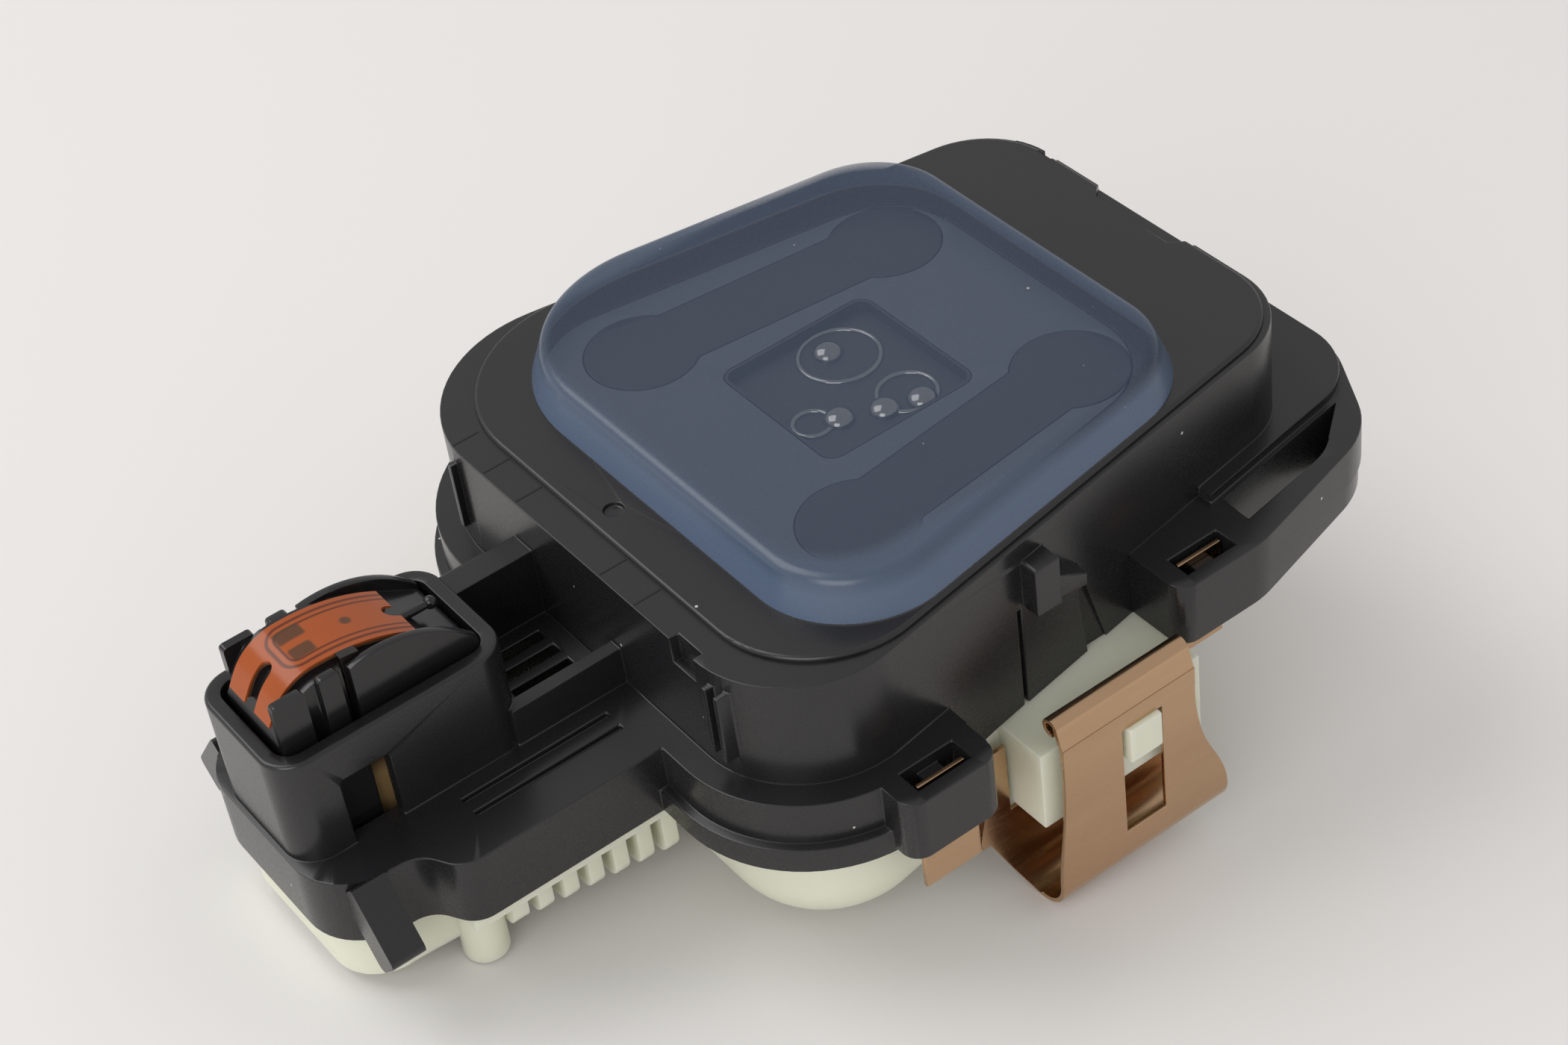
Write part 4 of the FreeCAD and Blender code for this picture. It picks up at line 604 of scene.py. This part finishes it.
# %% Film
TRACK_COLOUR, PRINT_COLOUR = (0.09, 0.02, 0.008), (0.065, 0.036, 0.02)
TRACK_SHARE, PRINT_SHARE, PRINT_FADE = 0.9, 0.85, (-0.08, 0.1)
FILM_MIDDLE, FILM_HALF, FILM_CORNER = (-39.6, 0.0), (5.0, 2.0), 1.2
# Tracks are given by their offsets from the film's outline and their widths, and the printed pads and
# the dot by their middles, half sizes and corner radii.
TRACKS = ((0.0, 0.13), (-0.5, 0.1))
PRINTS = (((-43.05, 1.0), (0.95, 0.6), 0.2),
          ((-43.1, -0.85), (0.8, 0.55), 0.2),
          ((-39.55, 0.0), (0.36, 0.36), 0.36))

film_finish = Finish("amber film", colour=(0.30, 0.062, 0.013), drift=(0.37, 0.083, 0.018),
                     roughness=(0.12, 0.2), bump=0.002, grain=0.6, shader={"Specular IOR Level": 0.3})
tree = film_finish.tree
across = film_finish.axes()[:2]
outline = box_distance(tree, across, FILM_MIDDLE, FILM_HALF, FILM_CORNER)
tone = film_finish.tone
for offset, width in TRACKS:
    line = math_node(tree, "MULTIPLY", soft_line(tree, outline, offset, width), TRACK_SHARE)
    tone = mix_colour(tree, line, tone, TRACK_COLOUR)
for middle, half, corner in PRINTS:
    away = box_distance(tree, across, middle, half, corner)
    spot = map_range(tree, away, PRINT_SHARE, 0.0, *PRINT_FADE)
    tone = mix_colour(tree, spot, tone, PRINT_COLOUR)
film_finish.set_tone(tone)
paint(dressed("humidity_flex", rounding=0.0), film_finish)

# %% Foam and lead
# The lead is painted dark above the window in the nose box, from the first of these levels to the second:
# this is painted shade inside the box.
LEAD_SHADE, LEAD_PAINTED_SHADE = (-10.0, -8.5), (0.012, 0.009, 0.008)
LEAD_BEND = (Vector((-41.1, -3.0, -16.0)) * MM, Vector((-41.1, -3.0, -1.0)) * MM)

foam_finish = Finish("brown foam", colour=(0.10, 0.045, 0.02), drift=(0.2, 0.1, 0.045),
                     roughness=(0.7, 0.95), bump=0.08)
paint(dressed("flex_cushion", rounding=0.06), foam_finish)
lead_finish = Finish("film lead", colour=(0.36, 0.23, 0.10), drift=(0.42, 0.28, 0.13),
                     roughness=(0.25, 0.4), bump=0.003)
# Painted shade: the lead darkens to near black where it climbs inside the nose box.
boxed_shade = map_range(lead_finish.tree, lead_finish.axes()[2], 0.0, 1.0, *LEAD_SHADE)
lead_finish.set_tone(mix_colour(lead_finish.tree, boxed_shade, lead_finish.tone, LEAD_PAINTED_SHADE))
paint(dressed("flex_tail", rounding=0.0, bend=LEAD_BEND), lead_finish)

# %% [markdown]
# ## Hidden parts
#
# The board and its parts are shut in, but the cover and the pad let a little of them show, and the parts
# are reused by themselves, so each has a finish too. The spring is pressed together between the case and
# the plunger.

# %% Board, chips and metal parts
board_finish = Finish("green board", colour=(0.02, 0.14, 0.06), drift=(0.03, 0.19, 0.08),
                      roughness=(0.3, 0.45), bump=0.01, grain=0.8)
lamp_finish = Finish("infrared lamp resin", colour=(0.02, 0.016, 0.026), drift=(0.05, 0.04, 0.06),
                     roughness=(0.08, 0.16), bump=0.002)
chip_finish = Finish("chip resin", colour=(0.014, 0.014, 0.015), drift=(0.025, 0.025, 0.026),
                     roughness=(0.45, 0.65), bump=0.01, grain=0.12)
can_finish = Finish("capacitor can", colour=(0.6, 0.6, 0.61), drift=(0.72, 0.72, 0.73),
                    roughness=(0.22, 0.36), bump=0.004, shader=METAL)
socket_finish = Finish("socket plastic", colour=(0.6, 0.56, 0.46), drift=(0.68, 0.64, 0.54),
                       roughness=(0.4, 0.55), bump=0.006)
contact_finish = Finish("tinned contact", colour=(0.62, 0.6, 0.56), drift=(0.72, 0.7, 0.66),
                        roughness=(0.2, 0.34), bump=0.003, shader=METAL)
steel_finish = Finish("spring steel", colour=(0.5, 0.5, 0.5), drift=(0.62, 0.62, 0.62),
                      roughness=(0.18, 0.3), bump=0.003, shader=METAL)
INNER_FINISH = {
    "circuit_board": board_finish,
    "ir_emitters": lamp_finish,
    "ir_receivers": lamp_finish,
    "light_sensors": chip_finish,
    "control_chip": chip_finish,
    "supply_regulator": chip_finish,
    "humidity_chip": chip_finish,
    "board_capacitors": can_finish,
    "flex_socket": socket_finish,
    "connector_pins": contact_finish,
}
for node, finish in INNER_FINISH.items():
    paint(frame["nodes"][node], finish)
SPRING_LOW, SPRING_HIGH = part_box("carrier_spring")
SPRING_BEND = (Vector((0, 0, SPRING_LOW[2])), Vector((0, 0, SPRING_HIGH[2])))
paint(dressed("carrier_spring", rounding=0.0, bend=SPRING_BEND), steel_finish)
print("hidden parts finished:", len(INNER_FINISH) + 1)

# %% [markdown]
# ## Table and light
#
# The sensor leans: its clips and the tip of its nose touch the table, so in the sensor's own frame the
# table slopes a little. One wide soft lamp stands behind on the left and a second fills from the front,
# and the white room does the rest.

# %% Table
NOSE_PLACE, NOSE_LEVEL = -40.7 * MM, -24.33 * MM
CLIP_PLACE, CLIP_LEVEL = -5.2 * MM, -32.03 * MM
TABLE_SLOPE = (CLIP_LEVEL - NOSE_LEVEL) / (CLIP_PLACE - NOSE_PLACE)
TABLE_REACH = 1.5

shape = bmesh.new()
bmesh.ops.create_grid(shape, x_segments=2, y_segments=2, size=TABLE_REACH)
for vertex in shape.verts:
    vertex.co.z = NOSE_LEVEL + TABLE_SLOPE * (vertex.co.x - NOSE_PLACE)
table_mesh = bpy.data.meshes.new("table")
shape.to_mesh(table_mesh)
shape.free()
table = bpy.data.objects.new("table", table_mesh)
bpy.context.scene.collection.objects.link(table)
table_finish = Finish("pale table", colour=(0.825, 0.81, 0.795), drift=(0.835, 0.82, 0.805),
                      roughness=(0.85, 0.95), bump=0.001, grain=2.0, drift_size=120.0,
                      shader={"Specular IOR Level": 0.1})
paint(table, table_finish)

# %% Lamps and room
def soft_lamp(name, place, size, power):
    """A square lamp that looks at the sensor, with its size in metres and its power in watts."""
    data = bpy.data.lights.new(name, "AREA")
    data.shape = "SQUARE"
    data.size = size
    data.energy = power
    lamp = bpy.data.objects.new(name, data)
    lamp.location = Vector(place)
    lamp.rotation_euler = (-Vector(place)).to_track_quat("-Z", "Y").to_euler()
    bpy.context.scene.collection.objects.link(lamp)
    print("lamp", name, "at", place)


soft_lamp("window_lamp", place=(-0.35, 0.45, 0.75), size=0.7, power=3.9)
soft_lamp("fill_lamp", place=(-0.6, -0.4, 0.45), size=0.5, power=2.4)
# The room as the camera sees it is a little brighter than the light it gives.
ROOM_COLOUR, ROOM_LIGHT, ROOM_SEEN = (1.0, 0.985, 0.97, 1.0), 0.61, 0.78
room = bpy.data.worlds.new("room")
room.use_nodes = True
tree = room.node_tree
background = tree.nodes["Background"]
background.inputs["Color"].default_value = ROOM_COLOUR
seen = add_node(tree, "ShaderNodeLightPath").outputs["Is Camera Ray"]
tree.links.new(map_range(tree, seen, ROOM_LIGHT, ROOM_SEEN), background.inputs["Strength"])
bpy.context.scene.world = room
bpy.context.scene.view_settings.view_transform = "Standard"
